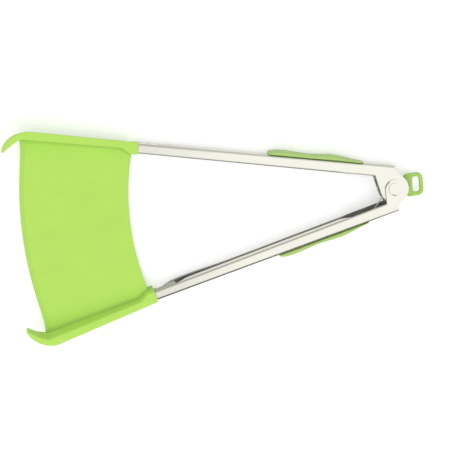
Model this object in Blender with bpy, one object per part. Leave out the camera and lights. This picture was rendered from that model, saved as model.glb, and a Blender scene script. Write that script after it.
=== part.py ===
"""Spatula tongs: two sprung steel arms whose silicone jaws are joined by a thin silicone web.

The tongs lie open on the plane z = 0. The hinge axis is +Z through the origin, the jaws point towards
-X and the closing plane is y = 0. Each arm is modelled in its closed place, in an arm frame: along is
the distance from the hinge axis towards the jaw, out is the distance from the closing plane, and z is
up. An empty on the hinge axis then swings the whole arm open by OPEN_HALF_ANGLE.
"""

import math

import bmesh
import bpy
from mathutils import Matrix, Vector

# Opening: each arm swings this far from the closing plane
OPEN_HALF_ANGLE = math.radians(13.2)

# Fits between neighbouring pieces
SEAT_GAP = 0.0003
RUNNING_GAP = 0.0004
CUT_OVERRUN = 0.001

# Jaw: a leaning silicone rim wall between a collar on the arm and a hooked tip
HINGE_TO_COLLAR = 0.1882
COLLAR_LENGTH = 0.0046
GUSSET_LENGTH = 0.0076
RIM_LENGTH = 0.0694
HOOK_REACH = 0.013
HOOK_OUTER_LEAD = 0.0043
RIM_LIFT = 0.006
RIM_RISE = 0.0069
TIP_DEPTH = 0.0134
COLLAR_INNER = 0.0071
COLLAR_WALL = 0.0086
COLLAR_PROUD = 0.0016
RIM_INNER = 0.0109
RIM_WALL_AT_COLLAR = 0.0052
RIM_WALL_AT_HOOK = 0.0061
OUTER_LEAN = math.radians(10.0)
INNER_LEAN = math.radians(5.5)
COLLAR_LEAN_SHARE = 0.55
TIP_CLEARANCE = 0.0004
TIP_THICKNESS = 0.0014
JAW_EDGE_ROUND = 0.0008
GUSSET_EASE_SHARE = 0.3
GUSSET_STEPS = 5
HOOK_STEPS = 8
# Control points of the hook's two edges, as shares of its reach and of its height
HOOK_OUTER_SHARES = ((0.0, 1.0), (0.3, 0.985), (0.93, 0.62), (1.0, 0.0))
HOOK_INNER_SHARES = ((0.0, 1.0), (0.22, 0.93), (0.66, 0.45), (1.0, 0.0))

# Jaw core: nylon plate inside the rim, with a tang that plugs into the arm
CORE_THICKNESS = 0.0018
CORE_END_MARGIN = 0.005
CORE_EDGE_MARGIN = 0.0015
CORE_SHOULDER = 0.001
TANG_LENGTH = 0.0165
TANG_WEDGE_LENGTH = 0.009
TANG_TIP_THICKNESS = 0.0008
TANG_RECESS = 0.001
NECK_COVER = 0.0029
CORE_EDGE_ROUND = 0.0004

# Web: an annular sector of sheet between the two rims, dished a little towards the floor
WEB_THICKNESS = 0.0015
WEB_HEIGHT = 0.008
WEB_DISH = 0.0025
WEB_DISH_POWER = 2
WEB_REAR_SETBACK = 0.0036
WEB_FRONT_SETBACK = 0.0012
WEB_FRONT_FILLET = 0.001
WEB_FILLET_POWER = 10
WEB_STEPS_ALONG = 12
WEB_STEPS_ACROSS = 28

# Arm: a steel channel, open towards the closing plane
STEEL = 0.0009
CHANNEL_WIDTH = 0.0132
CHANNEL_BEND = 0.002
BEND_STEPS = 4
ARM_OUT_AT_HINGE = 0.0165
ARM_OUT_AT_JAW = 0.0146
ARM_IN_AT_HINGE = 0.008
ARM_IN_AT_JAW = 0.0078
BASE_END = 0.002

# Hinge ears: those of arm_b step inwards to sit between those of arm_a
EAR_A_TURN = 0.009
EAR_A_RADIUS = 0.007
EAR_B_TURN = 0.0155
EAR_B_RADIUS = 0.0105
EAR_STEP_START = 0.034
EAR_STEP_END = 0.028
EAR_STEPS = 20

# Pivot, bush and torsion spring
PIVOT_RADIUS = 0.002
PIVOT_HEAD_RADIUS = 0.0046
PIVOT_HEAD_CHAMFER = 0.0006
BUSH_WALL = 0.0011
SPRING_WIRE = 0.0008
SPRING_TURNS = 2
SPRING_LEG_END = 0.026
TURN_POINTS = 16
ROUND_STEPS = 24
WIRE_SIDES = 10

# Lock slide and pull ring
SLIDE_THICKNESS = 0.0012
SLIDE_LIFT = 0.0009
SLIDE_TRAVEL = 0.0045
SLIDE_SIDE_WALL = 0.0022
TAIL_REACH = 0.023
RING_WIDTH = 0.017
RING_START = 0.008
RING_HOLE_LENGTH = 0.0053
RING_RIM = 0.0028
RING_ROUND = 0.0045
RING_PIN_RADIUS = 0.0011
RING_PIN_PLACE = 0.0112
SLIDE_IN_RING = 0.0058

# Grips: soft pads on the arms' backs, buttoned through the steel
GRIP_START = 0.025
GRIP_LENGTH = 0.0698
GRIP_THICKNESS = 0.0035
GRIP_NOSE_LENGTH = 0.0125
GRIP_SADDLE_DEPTH = 0.0011
GRIP_SADDLE_PLACE = 0.03
GRIP_SADDLE_WIDTH = 0.012
GRIP_TAIL_LENGTH = 0.024
GRIP_END_THICKNESS = 0.0008
GRIP_SIDE_INSET = 0.0003
GRIP_ROUND = 0.0006
GRIP_SHOULDER_SHARE = 0.55
BUTTON_RADIUS = 0.0019
BUTTON_HEAD_RADIUS = 0.003
BUTTON_HEAD_THICKNESS = 0.0011
BUTTON_PLACE_SHARES = (0.28, 0.72)
TAPER_STEPS = 6
SADDLE_STEPS = 8

# Countersunk rivets through the arm's back into the tang
RIVET_RADIUS = 0.0014
RIVET_HEAD_RADIUS = 0.0021
RIVET_HEAD_THICKNESS = 0.0006
RIVET_DEPTH = 0.003
RIVET_PLACE_SHARES = (0.26, 0.68)

# Places that follow from the sizes above
COLLAR_OUTER = COLLAR_INNER + COLLAR_WALL
JAW_DEPTH = CHANNEL_WIDTH + 2 * COLLAR_PROUD
JAW_TIP_TOP = JAW_DEPTH + RIM_RISE
HINGE_TO_GUSSET = HINGE_TO_COLLAR + COLLAR_LENGTH
HINGE_TO_RIM = HINGE_TO_GUSSET + GUSSET_LENGTH
HINGE_TO_HOOK = HINGE_TO_RIM + RIM_LENGTH
STEEL_END = HINGE_TO_COLLAR - SEAT_GAP
CHANNEL_LOW = COLLAR_PROUD
CHANNEL_HIGH = CHANNEL_LOW + CHANNEL_WIDTH
EAR_STEP = STEEL + SEAT_GAP
INNER_EAR_LOW = CHANNEL_LOW + EAR_STEP
INNER_EAR_HIGH = CHANNEL_HIGH - EAR_STEP
CAGE_LOW = INNER_EAR_LOW + STEEL + SEAT_GAP
CAGE_HIGH = INNER_EAR_HIGH - STEEL - SEAT_GAP
BUSH_BORE = PIVOT_RADIUS + SEAT_GAP
BUSH_RADIUS = BUSH_BORE + BUSH_WALL
SLIDE_LOW = CAGE_LOW + SLIDE_LIFT
SLIDE_HIGH = SLIDE_LOW + SLIDE_THICKNESS
RING_LOW = CAGE_LOW
RING_HIGH = SLIDE_HIGH + (SLIDE_LOW - RING_LOW)
RIVET_SETBACKS = [TANG_LENGTH * share for share in RIVET_PLACE_SHARES]
SIDES = {"a": -1, "b": 1}


def smoothstep(share):
    """Ease from 0 to 1, level at both ends."""
    share = min(max(share, 0.0), 1.0)
    return share * share * (3 - 2 * share)


def blend(low, high, share):
    """The value a share of the way from low to high."""
    return low + (high - low) * share


def bezier(points, share):
    """Point on a cubic curve through two ends and two control points."""
    left = 1 - share
    weights = (left ** 3, 3 * left * left * share, 3 * left * share * share, share ** 3)
    return tuple(sum(w * p[axis] for w, p in zip(weights, points)) for axis in range(2))


def arm_out(along):
    """Outer surface of an arm's back."""
    return blend(ARM_OUT_AT_HINGE, ARM_OUT_AT_JAW, along / STEEL_END)


def arm_in(along):
    """Free edge of an arm's flanges."""
    return blend(ARM_IN_AT_HINGE, ARM_IN_AT_JAW, along / STEEL_END)


def gusset_share(along):
    """How much of the change from collar to rim is done: almost straight, eased a little at its ends."""
    share = min(max((along - HINGE_TO_GUSSET) / GUSSET_LENGTH, 0.0), 1.0)
    return blend(share, smoothstep(share), GUSSET_EASE_SHARE)


def rim_share(along):
    """How far along the rim a place is, from 0 at the gusset to 1 at the hook."""
    return min(max((along - HINGE_TO_RIM) / RIM_LENGTH, 0.0), 1.0)


def neck_share(along):
    """How far a place is from the collar's open end, 0, to the rim's start, 1."""
    return min(max((along - HINGE_TO_COLLAR) / (HINGE_TO_RIM - HINGE_TO_COLLAR), 0.0), 1.0)


def lean_share(along):
    """How much of the walls' lean is reached: part of it at the collar's open end, all at the rim."""
    return blend(COLLAR_LEAN_SHARE, 1.0, neck_share(along))


def jaw_low(along):
    """Height of the jaw's underside."""
    return RIM_LIFT * gusset_share(along)


def jaw_high(along):
    """Height of the jaw's upper face, which climbs along the rim."""
    return JAW_DEPTH + RIM_RISE * rim_share(along)


def rim_wall(along):
    """Thickness of the rim wall at its upper face."""
    return blend(RIM_WALL_AT_COLLAR, RIM_WALL_AT_HOOK, rim_share(along))


def jaw_inner_edge(along):
    """Inner edge of the jaw's upper face."""
    return blend(COLLAR_INNER, RIM_INNER, gusset_share(along))


def jaw_outer_edge(along):
    """Outer edge of the jaw's upper face."""
    return blend(COLLAR_OUTER, RIM_INNER + rim_wall(along), gusset_share(along))


def jaw_inner(along, z):
    """Inner face of the jaw at a height: it leans towards the closing plane further down."""
    drop = jaw_high(along) - z
    return jaw_inner_edge(along) - drop * math.tan(INNER_LEAN) * lean_share(along)


def local(side, along, out, z):
    """Arm frame to the coordinates of that arm's empty."""
    return Vector((-along, SIDES[side] * out, z))


def opened(side, along, out, z):
    """Arm frame to world coordinates, with the arm open."""
    turn = Matrix.Rotation(-SIDES[side] * OPEN_HALF_ANGLE, 3, "Z")
    return turn @ local(side, along, out, z)


def material(name, colour, roughness, metallic=0.0):
    """A plain finish for one kind of piece."""
    found = bpy.data.materials.get(name)
    if found:
        return found
    made = bpy.data.materials.new(name)
    made.use_nodes = True
    shader = made.node_tree.nodes["Principled BSDF"]
    shader.inputs["Base Color"].default_value = (*colour, 1.0)
    shader.inputs["Roughness"].default_value = roughness
    shader.inputs["Metallic"].default_value = metallic
    made.diffuse_color = (*colour, 1.0)
    return made


def silicone():
    return material("lime_silicone", (0.49, 0.79, 0.14), 0.55)


def nylon():
    return material("green_nylon", (0.40, 0.70, 0.12), 0.45)


def steel():
    return material("satin_steel", (0.72, 0.72, 0.70), 0.3, 1.0)


def dark_steel():
    return material("spring_steel", (0.45, 0.45, 0.46), 0.35, 1.0)


def pale_nylon():
    return material("pale_nylon", (0.75, 0.75, 0.72), 0.5)


def add_object(name, mesh, finish, parent=None):
    """Put a mesh in the scene under its arm's empty, or free on the hinge axis."""
    mesh.materials.append(finish)
    made = bpy.data.objects.new(name, mesh)
    bpy.context.scene.collection.objects.link(made)
    made.parent = parent
    return made


def finish_mesh(name, shape, smooth_angle=math.radians(35)):
    """Turn a bmesh into a mesh with faces pointing out and round places shaded smooth."""
    bmesh.ops.recalc_face_normals(shape, faces=shape.faces)
    mesh = bpy.data.meshes.new(name)
    shape.to_mesh(mesh)
    shape.free()
    mesh.shade_smooth()
    mesh.set_sharp_from_angle(angle=smooth_angle)
    return mesh


def loft(name, rings):
    """A closed body through rings with equal numbers of points, capped at both ends."""
    shape = bmesh.new()
    rows = [[shape.verts.new(point) for point in ring] for ring in rings]
    count = len(rows[0])
    for row, following in zip(rows, rows[1:]):
        for i in range(count):
            j = (i + 1) % count
            shape.faces.new((row[i], row[j], following[j]))
            shape.faces.new((row[i], following[j], following[i]))
    shape.faces.new(rows[0])
    shape.faces.new(rows[-1])
    return finish_mesh(name, shape)


def rounded(corners, radius, steps=2):
    """Ring through corners, each replaced by a small quadratic curve that starts a radius away."""
    ring = []
    count = len(corners)
    for i, corner in enumerate(corners):
        before = (corners[i - 1] - corner).normalized() * radius
        after = (corners[(i + 1) % count] - corner).normalized() * radius
        for step in range(steps + 1):
            share = step / steps
            ring.append(corner + before * (1 - share) ** 2 + after * share ** 2)
    return ring


def turned(name, profile, centre=(0.0, 0.0, 0.0), axis="Z"):
    """A round body from a closed profile of (radius, height) pairs; radius 0 closes an end."""
    shape = bmesh.new()
    rings = []
    for radius, height in profile:
        if radius == 0:
            rings.append([shape.verts.new((0, 0, height))])
            continue
        angles = [2 * math.pi * i / ROUND_STEPS for i in range(ROUND_STEPS)]
        rings.append([shape.verts.new((radius * math.cos(a), radius * math.sin(a), height))
                      for a in angles])
    hollow = all(radius > 0 for radius, _ in profile)
    pairs = list(zip(rings, rings[1:]))
    if hollow:
        pairs.append((rings[-1], rings[0]))
    for low, high in pairs:
        for i in range(ROUND_STEPS):
            j = (i + 1) % ROUND_STEPS
            corners = [low[i % len(low)], low[j % len(low)], high[j % len(high)], high[i % len(high)]]
            shape.faces.new(list(dict.fromkeys(corners)))
    if axis == "Y":
        bmesh.ops.rotate(shape, verts=shape.verts, matrix=Matrix.Rotation(-math.pi / 2, 3, "X"))
    bmesh.ops.translate(shape, verts=shape.verts, vec=centre)
    return finish_mesh(name, shape)


def prism(name, outline, low, high):
    """A flat plate: an outline in X and Y between two heights."""
    shape = bmesh.new()
    bottom = [shape.verts.new((x, y, low)) for x, y in outline]
    top = [shape.verts.new((x, y, high)) for x, y in outline]
    count = len(outline)
    for i in range(count):
        j = (i + 1) % count
        shape.faces.new((bottom[i], bottom[j], top[j], top[i]))
    shape.faces.new(bottom)
    shape.faces.new(top)
    return finish_mesh(name, shape)


def stadium(start, end, radius, steps=10):
    """Outline of a slot along X between two centres."""
    points = []
    for centre, first in ((end, -math.pi / 2), (start, math.pi / 2)):
        for step in range(steps + 1):
            angle = first + math.pi * step / steps
            points.append((centre + radius * math.cos(angle), radius * math.sin(angle)))
    return points


def rounded_box_outline(x_low, x_high, half_width, radius, steps=5):
    """Outline of a rectangle in X and Y with round corners."""
    points = []
    corners = ((x_high, half_width, 0), (x_low, half_width, 1), (x_low, -half_width, 2),
               (x_high, -half_width, 3))
    for x, y, quarter in corners:
        centre_x = x - math.copysign(radius, x - (x_low + x_high) / 2)
        centre_y = y - math.copysign(radius, y)
        for step in range(steps + 1):
            angle = math.pi / 2 * (quarter + step / steps)
            points.append((centre_x + radius * math.cos(angle), centre_y + radius * math.sin(angle)))
    return points


def cut(target, cutter_meshes, parent=None, operation="DIFFERENCE"):
    """Cut meshes from an object, or join them to it, with live Boolean modifiers."""
    for number, mesh in enumerate(cutter_meshes):
        cutter = bpy.data.objects.new(f"{target.name}_cutter_{number}", mesh)
        bpy.context.scene.collection.objects.link(cutter)
        cutter.parent = parent
        cutter.hide_render = True
        cutter.display_type = "WIRE"
        modifier = target.modifiers.new(f"cut_{number}", "BOOLEAN")
        modifier.operation = operation
        modifier.solver = "EXACT"
        modifier.object = cutter


def make_arm_empties():
    """One empty for each arm, on the hinge axis, turned to the open pose."""
    empties = {}
    for side, sign in SIDES.items():
        empty = bpy.data.objects.new(f"arm_{side}_hinge", None)
        empty.rotation_euler = (0, 0, -sign * OPEN_HALF_ANGLE)
        bpy.context.scene.collection.objects.link(empty)
        empties[side] = empty
    return empties


def hook_stations():
    """The jaw's stations along the hook, to its tip."""
    outer_start = (HINGE_TO_HOOK - HOOK_OUTER_LEAD, RIM_INNER + RIM_WALL_AT_HOOK)
    inner_start = (HINGE_TO_HOOK, RIM_INNER)
    tip = HINGE_TO_HOOK + HOOK_REACH

    def edge(begin, end, shares):
        reach, height = end - begin[0], begin[1] - TIP_CLEARANCE
        return [(begin[0] + a * reach, TIP_CLEARANCE + o * height) for a, o in shares]

    outer_curve = edge(outer_start, tip, HOOK_OUTER_SHARES)
    inner_curve = edge(inner_start, tip - TIP_THICKNESS, HOOK_INNER_SHARES)
    stations = []
    for step in range(HOOK_STEPS + 1):
        share = step / HOOK_STEPS
        low = blend(RIM_LIFT, JAW_TIP_TOP - TIP_DEPTH, smoothstep(share))
        stations.append((bezier(outer_curve, share), bezier(inner_curve, share), low, JAW_TIP_TOP,
                         1 - smoothstep(share)))
    return stations


def jaw_places():
    """Places along the jaw between its collar's open end and its rim's start."""
    return [HINGE_TO_GUSSET + GUSSET_LENGTH * i / GUSSET_STEPS for i in range(GUSSET_STEPS + 1)]


def jaw_stations():
    """The jaw from collar to tip: outer edge, inner edge, low and high height, share of the lean."""
    stations = []
    for along in [HINGE_TO_COLLAR] + jaw_places():
        stations.append(((along, jaw_outer_edge(along)), (along, jaw_inner_edge(along)),
                         jaw_low(along), jaw_high(along), lean_share(along)))
    return stations + hook_stations()


def jaw_ring(side, station):
    """Cross-section of the jaw, whose outer and inner faces lean towards the closing plane."""
    outer, inner, low, high, leaning = station

    def corner(point, z, lean):
        return local(side, point[0], point[1] - (high - z) * math.tan(lean) * leaning, z)

    corners = [corner(outer, high, OUTER_LEAN), corner(outer, low, OUTER_LEAN),
               corner(inner, low, INNER_LEAN), corner(inner, high, INNER_LEAN)]
    thin = (Vector(outer) - Vector(inner)).length
    return rounded(corners, min(JAW_EDGE_ROUND, thin / 3))


def core_ring(side, along, inner, outer, grow):
    """Cross-section of the nylon core, larger by grow on every side."""
    tang_low = CHANNEL_LOW + STEEL + SEAT_GAP
    tang_high = CHANNEL_HIGH - STEEL - SEAT_GAP
    low = blend(tang_low, RIM_LIFT + CORE_EDGE_MARGIN, gusset_share(along)) - grow
    high = tang_high + jaw_high(along) - JAW_DEPTH + grow
    lean = (math.tan(OUTER_LEAN) + math.tan(INNER_LEAN)) / 2 * neck_share(along)
    corners = []
    for out, z in ((outer + grow, high), (outer + grow, low), (inner - grow, low), (inner - grow, high)):
        corners.append(local(side, along, out - (jaw_high(along) - z) * lean, z))
    return rounded(corners, min(CORE_EDGE_ROUND, (outer - inner) / 4))


def core_body_rings(side, start, end, grow):
    """The core from the collar's open end to just short of the hook."""
    neck_inner = COLLAR_INNER + NECK_COVER
    neck_outer = COLLAR_OUTER - NECK_COVER
    rings = [core_ring(side, start, neck_inner, neck_outer, grow),
             core_ring(side, HINGE_TO_GUSSET, neck_inner, neck_outer, grow)]
    for along in (HINGE_TO_RIM, end):
        middle = (jaw_inner_edge(along) + jaw_outer_edge(along)) / 2
        half = CORE_THICKNESS / 2
        rings.append(core_ring(side, along, middle - half, middle + half, grow))
    return rings


def make_jaw_core(side, empty):
    """Nylon core: a wedge-ended tang in the channel, a neck in the collar and a plate in the rim."""
    tang_tip = HINGE_TO_COLLAR - TANG_LENGTH - TANG_WEDGE_LENGTH
    wedge_end = HINGE_TO_COLLAR - TANG_LENGTH
    rings = []
    for along, thickness in ((tang_tip, TANG_TIP_THICKNESS), (wedge_end, None),
                             (STEEL_END - CORE_SHOULDER, None)):
        outer = arm_out(along) - STEEL - SEAT_GAP
        inner = outer - thickness if thickness else arm_in(along) + TANG_RECESS
        rings.append(core_ring(side, along, inner, outer, 0))
    rings += core_body_rings(side, STEEL_END, HINGE_TO_HOOK - CORE_END_MARGIN, 0)
    core = add_object(f"jaw_core_{side}", loft(f"jaw_core_{side}", rings), nylon(), empty)
    cut(core, [rivet_hole(side, setback) for setback in RIVET_SETBACKS], empty)
    return core


def make_jaw_cover(side, empty):
    """Silicone cover: collar, leaning rim and hooked tip, hollow for the core."""
    rings = [jaw_ring(side, station) for station in jaw_stations()]
    cover = add_object(f"jaw_cover_{side}", loft(f"jaw_cover_{side}", rings), silicone(), empty)
    cavity = core_body_rings(side, HINGE_TO_COLLAR - CUT_OVERRUN,
                             HINGE_TO_HOOK - CORE_END_MARGIN + SEAT_GAP, SEAT_GAP)
    cut(cover, [loft(f"jaw_cover_{side}_cavity", cavity)], empty)
    return cover


def rivet_place(side, setback, out):
    """A point on a tang rivet's axis."""
    return local(side, HINGE_TO_COLLAR - setback, out, JAW_DEPTH / 2)


def across(name, side, place, profile):
    """A turned body whose axis runs inwards from an arm's back; heights count inwards."""
    mesh = turned(name, profile, axis="Y")
    if SIDES[side] > 0:
        mesh.transform(Matrix.Rotation(math.pi, 4, "Z"))
    mesh.transform(Matrix.Translation(place))
    return mesh


def rivet_hole(side, setback):
    """Cutter for a tang rivet: countersunk through the steel and blind in the tang."""
    out = arm_out(HINGE_TO_COLLAR - setback)
    head = RIVET_HEAD_RADIUS + SEAT_GAP
    radius = RIVET_RADIUS + SEAT_GAP
    depth = STEEL + RIVET_DEPTH + SEAT_GAP
    profile = ((0, -CUT_OVERRUN), (head, -CUT_OVERRUN), (head, 0), (radius, RIVET_HEAD_THICKNESS),
               (radius, depth), (0, depth))
    return across(f"rivet_hole_{side}", side, rivet_place(side, setback, out), profile)


def make_tang_rivet(side, number, setback, empty):
    """A rivet whose head is flush with the arm's back and whose shank is in the tang."""
    out = arm_out(HINGE_TO_COLLAR - setback)
    depth = STEEL + RIVET_DEPTH
    profile = ((0, 0), (RIVET_HEAD_RADIUS, 0), (RIVET_RADIUS, RIVET_HEAD_THICKNESS),
               (RIVET_RADIUS, depth), (0, depth))
    name = f"tang_rivet_{side}_{number}"
    mesh = across(name, side, rivet_place(side, setback, out), profile)
    return add_object(name, mesh, steel(), empty)


def ear_outline(turn, radius, inner_out, end_out):
    """Edge of a hinge ear from the flange's free edge, round the pivot, to the end of the back."""
    first = Vector((turn, inner_out))
    last = Vector((BASE_END, end_out))

    def tangent_angle(point, sign):
        facing = math.atan2(point.y, point.x)
        return facing + sign * math.acos(radius / point.length)

    start = tangent_angle(first, -1)
    end = tangent_angle(last, 1) - 2 * math.pi
    points = [first]
    for step in range(EAR_STEPS + 1):
        angle = blend(start, end, step / EAR_STEPS)
        points.append(Vector((radius * math.cos(angle), radius * math.sin(angle))))
    return points


def channel_ring(along, low, high):
    """Open cross-section of the channel's outer skin: free edge, bend, back, bend, free edge."""
    out = arm_out(along)
    ring = [(along, arm_in(along), high)]
    for centre_z, first in ((high - CHANNEL_BEND, 0.5 * math.pi), (low + CHANNEL_BEND, 0.0)):
        for step in range(BEND_STEPS + 1):
            angle = first - 0.5 * math.pi * step / BEND_STEPS
            ring.append((along, out - CHANNEL_BEND + CHANNEL_BEND * math.cos(angle),
                         centre_z + CHANNEL_BEND * math.sin(angle)))
    ring.append((along, arm_in(along), low))
    return ring


def make_arm(side, empty):
    """Folded steel channel with hinge ears; arm_b's ears step in to nest inside arm_a's."""
    nested = side == "b"
    step = EAR_STEP if nested else 0.0
    turn = EAR_B_TURN if nested else EAR_A_TURN
    radius = EAR_B_RADIUS if nested else EAR_A_RADIUS
    stations = [(STEEL_END, 0.0), (EAR_STEP_START, 0.0), (EAR_STEP_END, step), (BASE_END, step)]
    shape = bmesh.new()
    rows = []
    for along, inset in stations:
        ring = channel_ring(along, CHANNEL_LOW + inset, CHANNEL_HIGH - inset)
        if along == BASE_END:
            ring = ring[1:-1]
        rows.append([shape.verts.new(local(side, *point)) for point in ring])
    for row, following in zip(rows, rows[1:-1]):
        for i in range(len(row) - 1):
            shape.faces.new((row[i], row[i + 1], following[i + 1], following[i]))
    ears, end = rows[-2], rows[-1]
    for i in range(len(end) - 1):
        shape.faces.new((ears[i + 1], ears[i + 2], end[i + 1], end[i]))
    outline = ear_outline(turn, radius, arm_in(turn), arm_out(BASE_END) - CHANNEL_BEND)
    for edge, bend, last, z in ((ears[0], ears[1], end[0], CHANNEL_HIGH - step),
                                (ears[-1], ears[-2], end[-1], CHANNEL_LOW + step)):
        rim = [shape.verts.new(local(side, point.x, point.y, z)) for point in outline]
        shape.faces.new([bend, edge] + rim + [last])
    bmesh.ops.recalc_face_normals(shape, faces=shape.faces)
    middle = local(side, (STEEL_END + EAR_STEP_START) / 2, arm_out(STEEL_END), JAW_DEPTH / 2)
    back = min(shape.faces, key=lambda face: (face.calc_center_median() - middle).length)
    if back.normal.y * SIDES[side] < 0:
        bmesh.ops.reverse_faces(shape, faces=shape.faces)
    mesh = bpy.data.meshes.new(f"arm_{side}")
    shape.to_mesh(mesh)
    shape.free()
    mesh.shade_smooth()
    mesh.set_sharp_from_angle(angle=math.radians(35))
    arm = add_object(f"arm_{side}", mesh, steel(), empty)
    fold = arm.modifiers.new("thickness", "SOLIDIFY")
    fold.thickness = STEEL
    fold.offset = -1.0
    fold.use_even_offset = True
    hole = PIVOT_RADIUS + SEAT_GAP
    span = ((0, -CUT_OVERRUN), (hole, -CUT_OVERRUN), (hole, JAW_DEPTH + CUT_OVERRUN),
            (0, JAW_DEPTH + CUT_OVERRUN))
    cutters = [turned(f"arm_{side}_bore", span)]
    cutters += [rivet_hole(side, setback) for setback in RIVET_SETBACKS]
    cutters += [button_hole(side, share) for share in BUTTON_PLACE_SHARES]
    cut(arm, cutters, empty)
    return arm


def button_place(side, share):
    """Where a grip's button passes through the arm's back."""
    along = GRIP_START + GRIP_LENGTH * share
    return local(side, along, arm_out(along), JAW_DEPTH / 2)


def button_hole(side, share):
    """Cutter for a grip button's hole in the steel."""
    radius = BUTTON_RADIUS + SEAT_GAP
    depth = STEEL + CUT_OVERRUN
    profile = ((0, -CUT_OVERRUN), (radius, -CUT_OVERRUN), (radius, depth), (0, depth))
    return across(f"button_hole_{side}", side, button_place(side, share), profile)


def grip_height(along):
    """Thickness of the grip pad: a round nose, a saddle for the finger and a long thin tail."""
    from_nose = GRIP_START + GRIP_LENGTH - along
    saddle = GRIP_SADDLE_DEPTH * math.exp(-((from_nose - GRIP_SADDLE_PLACE) / GRIP_SADDLE_WIDTH) ** 2)
    full = GRIP_THICKNESS - GRIP_END_THICKNESS - saddle
    nose = math.sqrt(1 - (1 - min(from_nose / GRIP_NOSE_LENGTH, 1.0)) ** 2)
    return GRIP_END_THICKNESS + full * smoothstep((along - GRIP_START) / GRIP_TAIL_LENGTH) * nose


def make_grip(side, empty):
    """Soft pad on the arm's back, held by two buttons pressed through the steel."""
    tail_end = GRIP_START + GRIP_TAIL_LENGTH
    nose_start = GRIP_START + GRIP_LENGTH - GRIP_NOSE_LENGTH
    places = [blend(GRIP_START, tail_end, i / TAPER_STEPS) for i in range(TAPER_STEPS)]
    places += [blend(tail_end, nose_start, i / SADDLE_STEPS) for i in range(SADDLE_STEPS)]
    places += [nose_start + GRIP_NOSE_LENGTH * math.sin(math.pi / 2 * i / TAPER_STEPS)
               for i in range(TAPER_STEPS + 1)]
    low = CHANNEL_LOW + GRIP_SIDE_INSET
    high = CHANNEL_HIGH - GRIP_SIDE_INSET
    rings = []
    for along in places:
        floor = arm_out(along) + SEAT_GAP
        top = floor + grip_height(along)
        shoulder = blend(floor, top, GRIP_SHOULDER_SHARE)
        inset = CHANNEL_BEND
        profile = ((floor, low + inset / 2), (floor, high - inset / 2), (shoulder, high),
                   (top, high - inset), (top, low + inset), (shoulder, low))
        corners = [local(side, along, out, z) for out, z in profile]
        rings.append(rounded(corners, min(GRIP_ROUND, (top - floor) / 4), 1))
    grip = add_object(f"grip_{side}", loft(f"grip_{side}", rings), silicone(), empty)
    inner = STEEL + SEAT_GAP
    profile = ((0, -SEAT_GAP - GRIP_END_THICKNESS), (BUTTON_RADIUS, -SEAT_GAP - GRIP_END_THICKNESS),
               (BUTTON_RADIUS, inner), (BUTTON_HEAD_RADIUS, inner),
               (BUTTON_RADIUS, inner + BUTTON_HEAD_THICKNESS), (0, inner + BUTTON_HEAD_THICKNESS))
    buttons = [across(f"grip_{side}_button", side, button_place(side, share), profile)
               for share in BUTTON_PLACE_SHARES]
    cut(grip, buttons, empty, "UNION")
    return grip


def web_point(along, fillet, share, lower):
    """Point of the web: an arc about the hinge from rim to rim, sagging between them.

    along is where the arc meets the rims, which fillet moves on towards the tips. share runs from
    -1 at arm_a's rim to 1 at arm_b's.
    """
    z = WEB_HEIGHT - WEB_DISH * (1 - abs(share) ** WEB_DISH_POWER)
    z -= WEB_THICKNESS if lower else 0.0
    out = jaw_inner(along, z) - SEAT_GAP
    radius = math.hypot(along, out) + fillet * abs(share) ** WEB_FILLET_POWER
    edge = OPEN_HALF_ANGLE + math.asin(out / radius)
    return Vector((-radius * math.cos(edge * share), radius * math.sin(edge * share), z))


def make_web():
    """Thin silicone sheet between the rims: an annular sector about the hinge axis."""
    rear = HINGE_TO_COLLAR + WEB_REAR_SETBACK
    front = HINGE_TO_HOOK - WEB_FRONT_SETBACK
    places = [rear] + jaw_places()
    places += [blend(HINGE_TO_RIM, front, i / WEB_STEPS_ALONG) for i in range(1, WEB_STEPS_ALONG + 1)]
    shares = [2 * i / WEB_STEPS_ACROSS - 1 for i in range(WEB_STEPS_ACROSS + 1)]
    shape = bmesh.new()
    sheets = []
    for lower in (False, True):
        rows = []
        for place in places:
            fillet = WEB_FRONT_FILLET if place == front else 0.0
            rows.append([shape.verts.new(web_point(place, fillet, share, lower)) for share in shares])
        sheets.append(rows)
    top, bottom = sheets
    for sheet in sheets:
        for row, following in zip(sheet, sheet[1:]):
            for i in range(len(shares) - 1):
                shape.faces.new((row[i], row[i + 1], following[i + 1], following[i]))
    for upper, lower in ((top[0], bottom[0]), (top[-1], bottom[-1])):
        for i in range(len(shares) - 1):
            shape.faces.new((upper[i], upper[i + 1], lower[i + 1], lower[i]))
    for column in (0, -1):
        for i in range(len(places) - 1):
            shape.faces.new((top[i][column], top[i + 1][column], bottom[i + 1][column],
                             bottom[i][column]))
    return add_object("web", finish_mesh("web", shape), silicone())


def make_pivot_pin():
    """Rivet through both pairs of ears, with a flat head at each end."""
    low_head = CHANNEL_LOW - SEAT_GAP
    high_head = CHANNEL_HIGH + SEAT_GAP
    chamfer = PIVOT_HEAD_CHAMFER
    profile = ((0, 0), (PIVOT_HEAD_RADIUS - chamfer, 0), (PIVOT_HEAD_RADIUS, chamfer),
               (PIVOT_HEAD_RADIUS, low_head), (PIVOT_RADIUS, low_head), (PIVOT_RADIUS, high_head),
               (PIVOT_HEAD_RADIUS, high_head), (PIVOT_HEAD_RADIUS, JAW_DEPTH - chamfer),
               (PIVOT_HEAD_RADIUS - chamfer, JAW_DEPTH), (0, JAW_DEPTH))
    return add_object("pivot_pin", turned("pivot_pin", profile), steel())


def make_spring_bush():
    """Nylon tube on the pivot that keeps the ears apart and carries the spring."""
    profile = ((BUSH_BORE, CAGE_LOW), (BUSH_RADIUS, CAGE_LOW), (BUSH_RADIUS, CAGE_HIGH),
               (BUSH_BORE, CAGE_HIGH))
    return add_object("spring_bush", turned("spring_bush", profile), pale_nylon())


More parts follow.
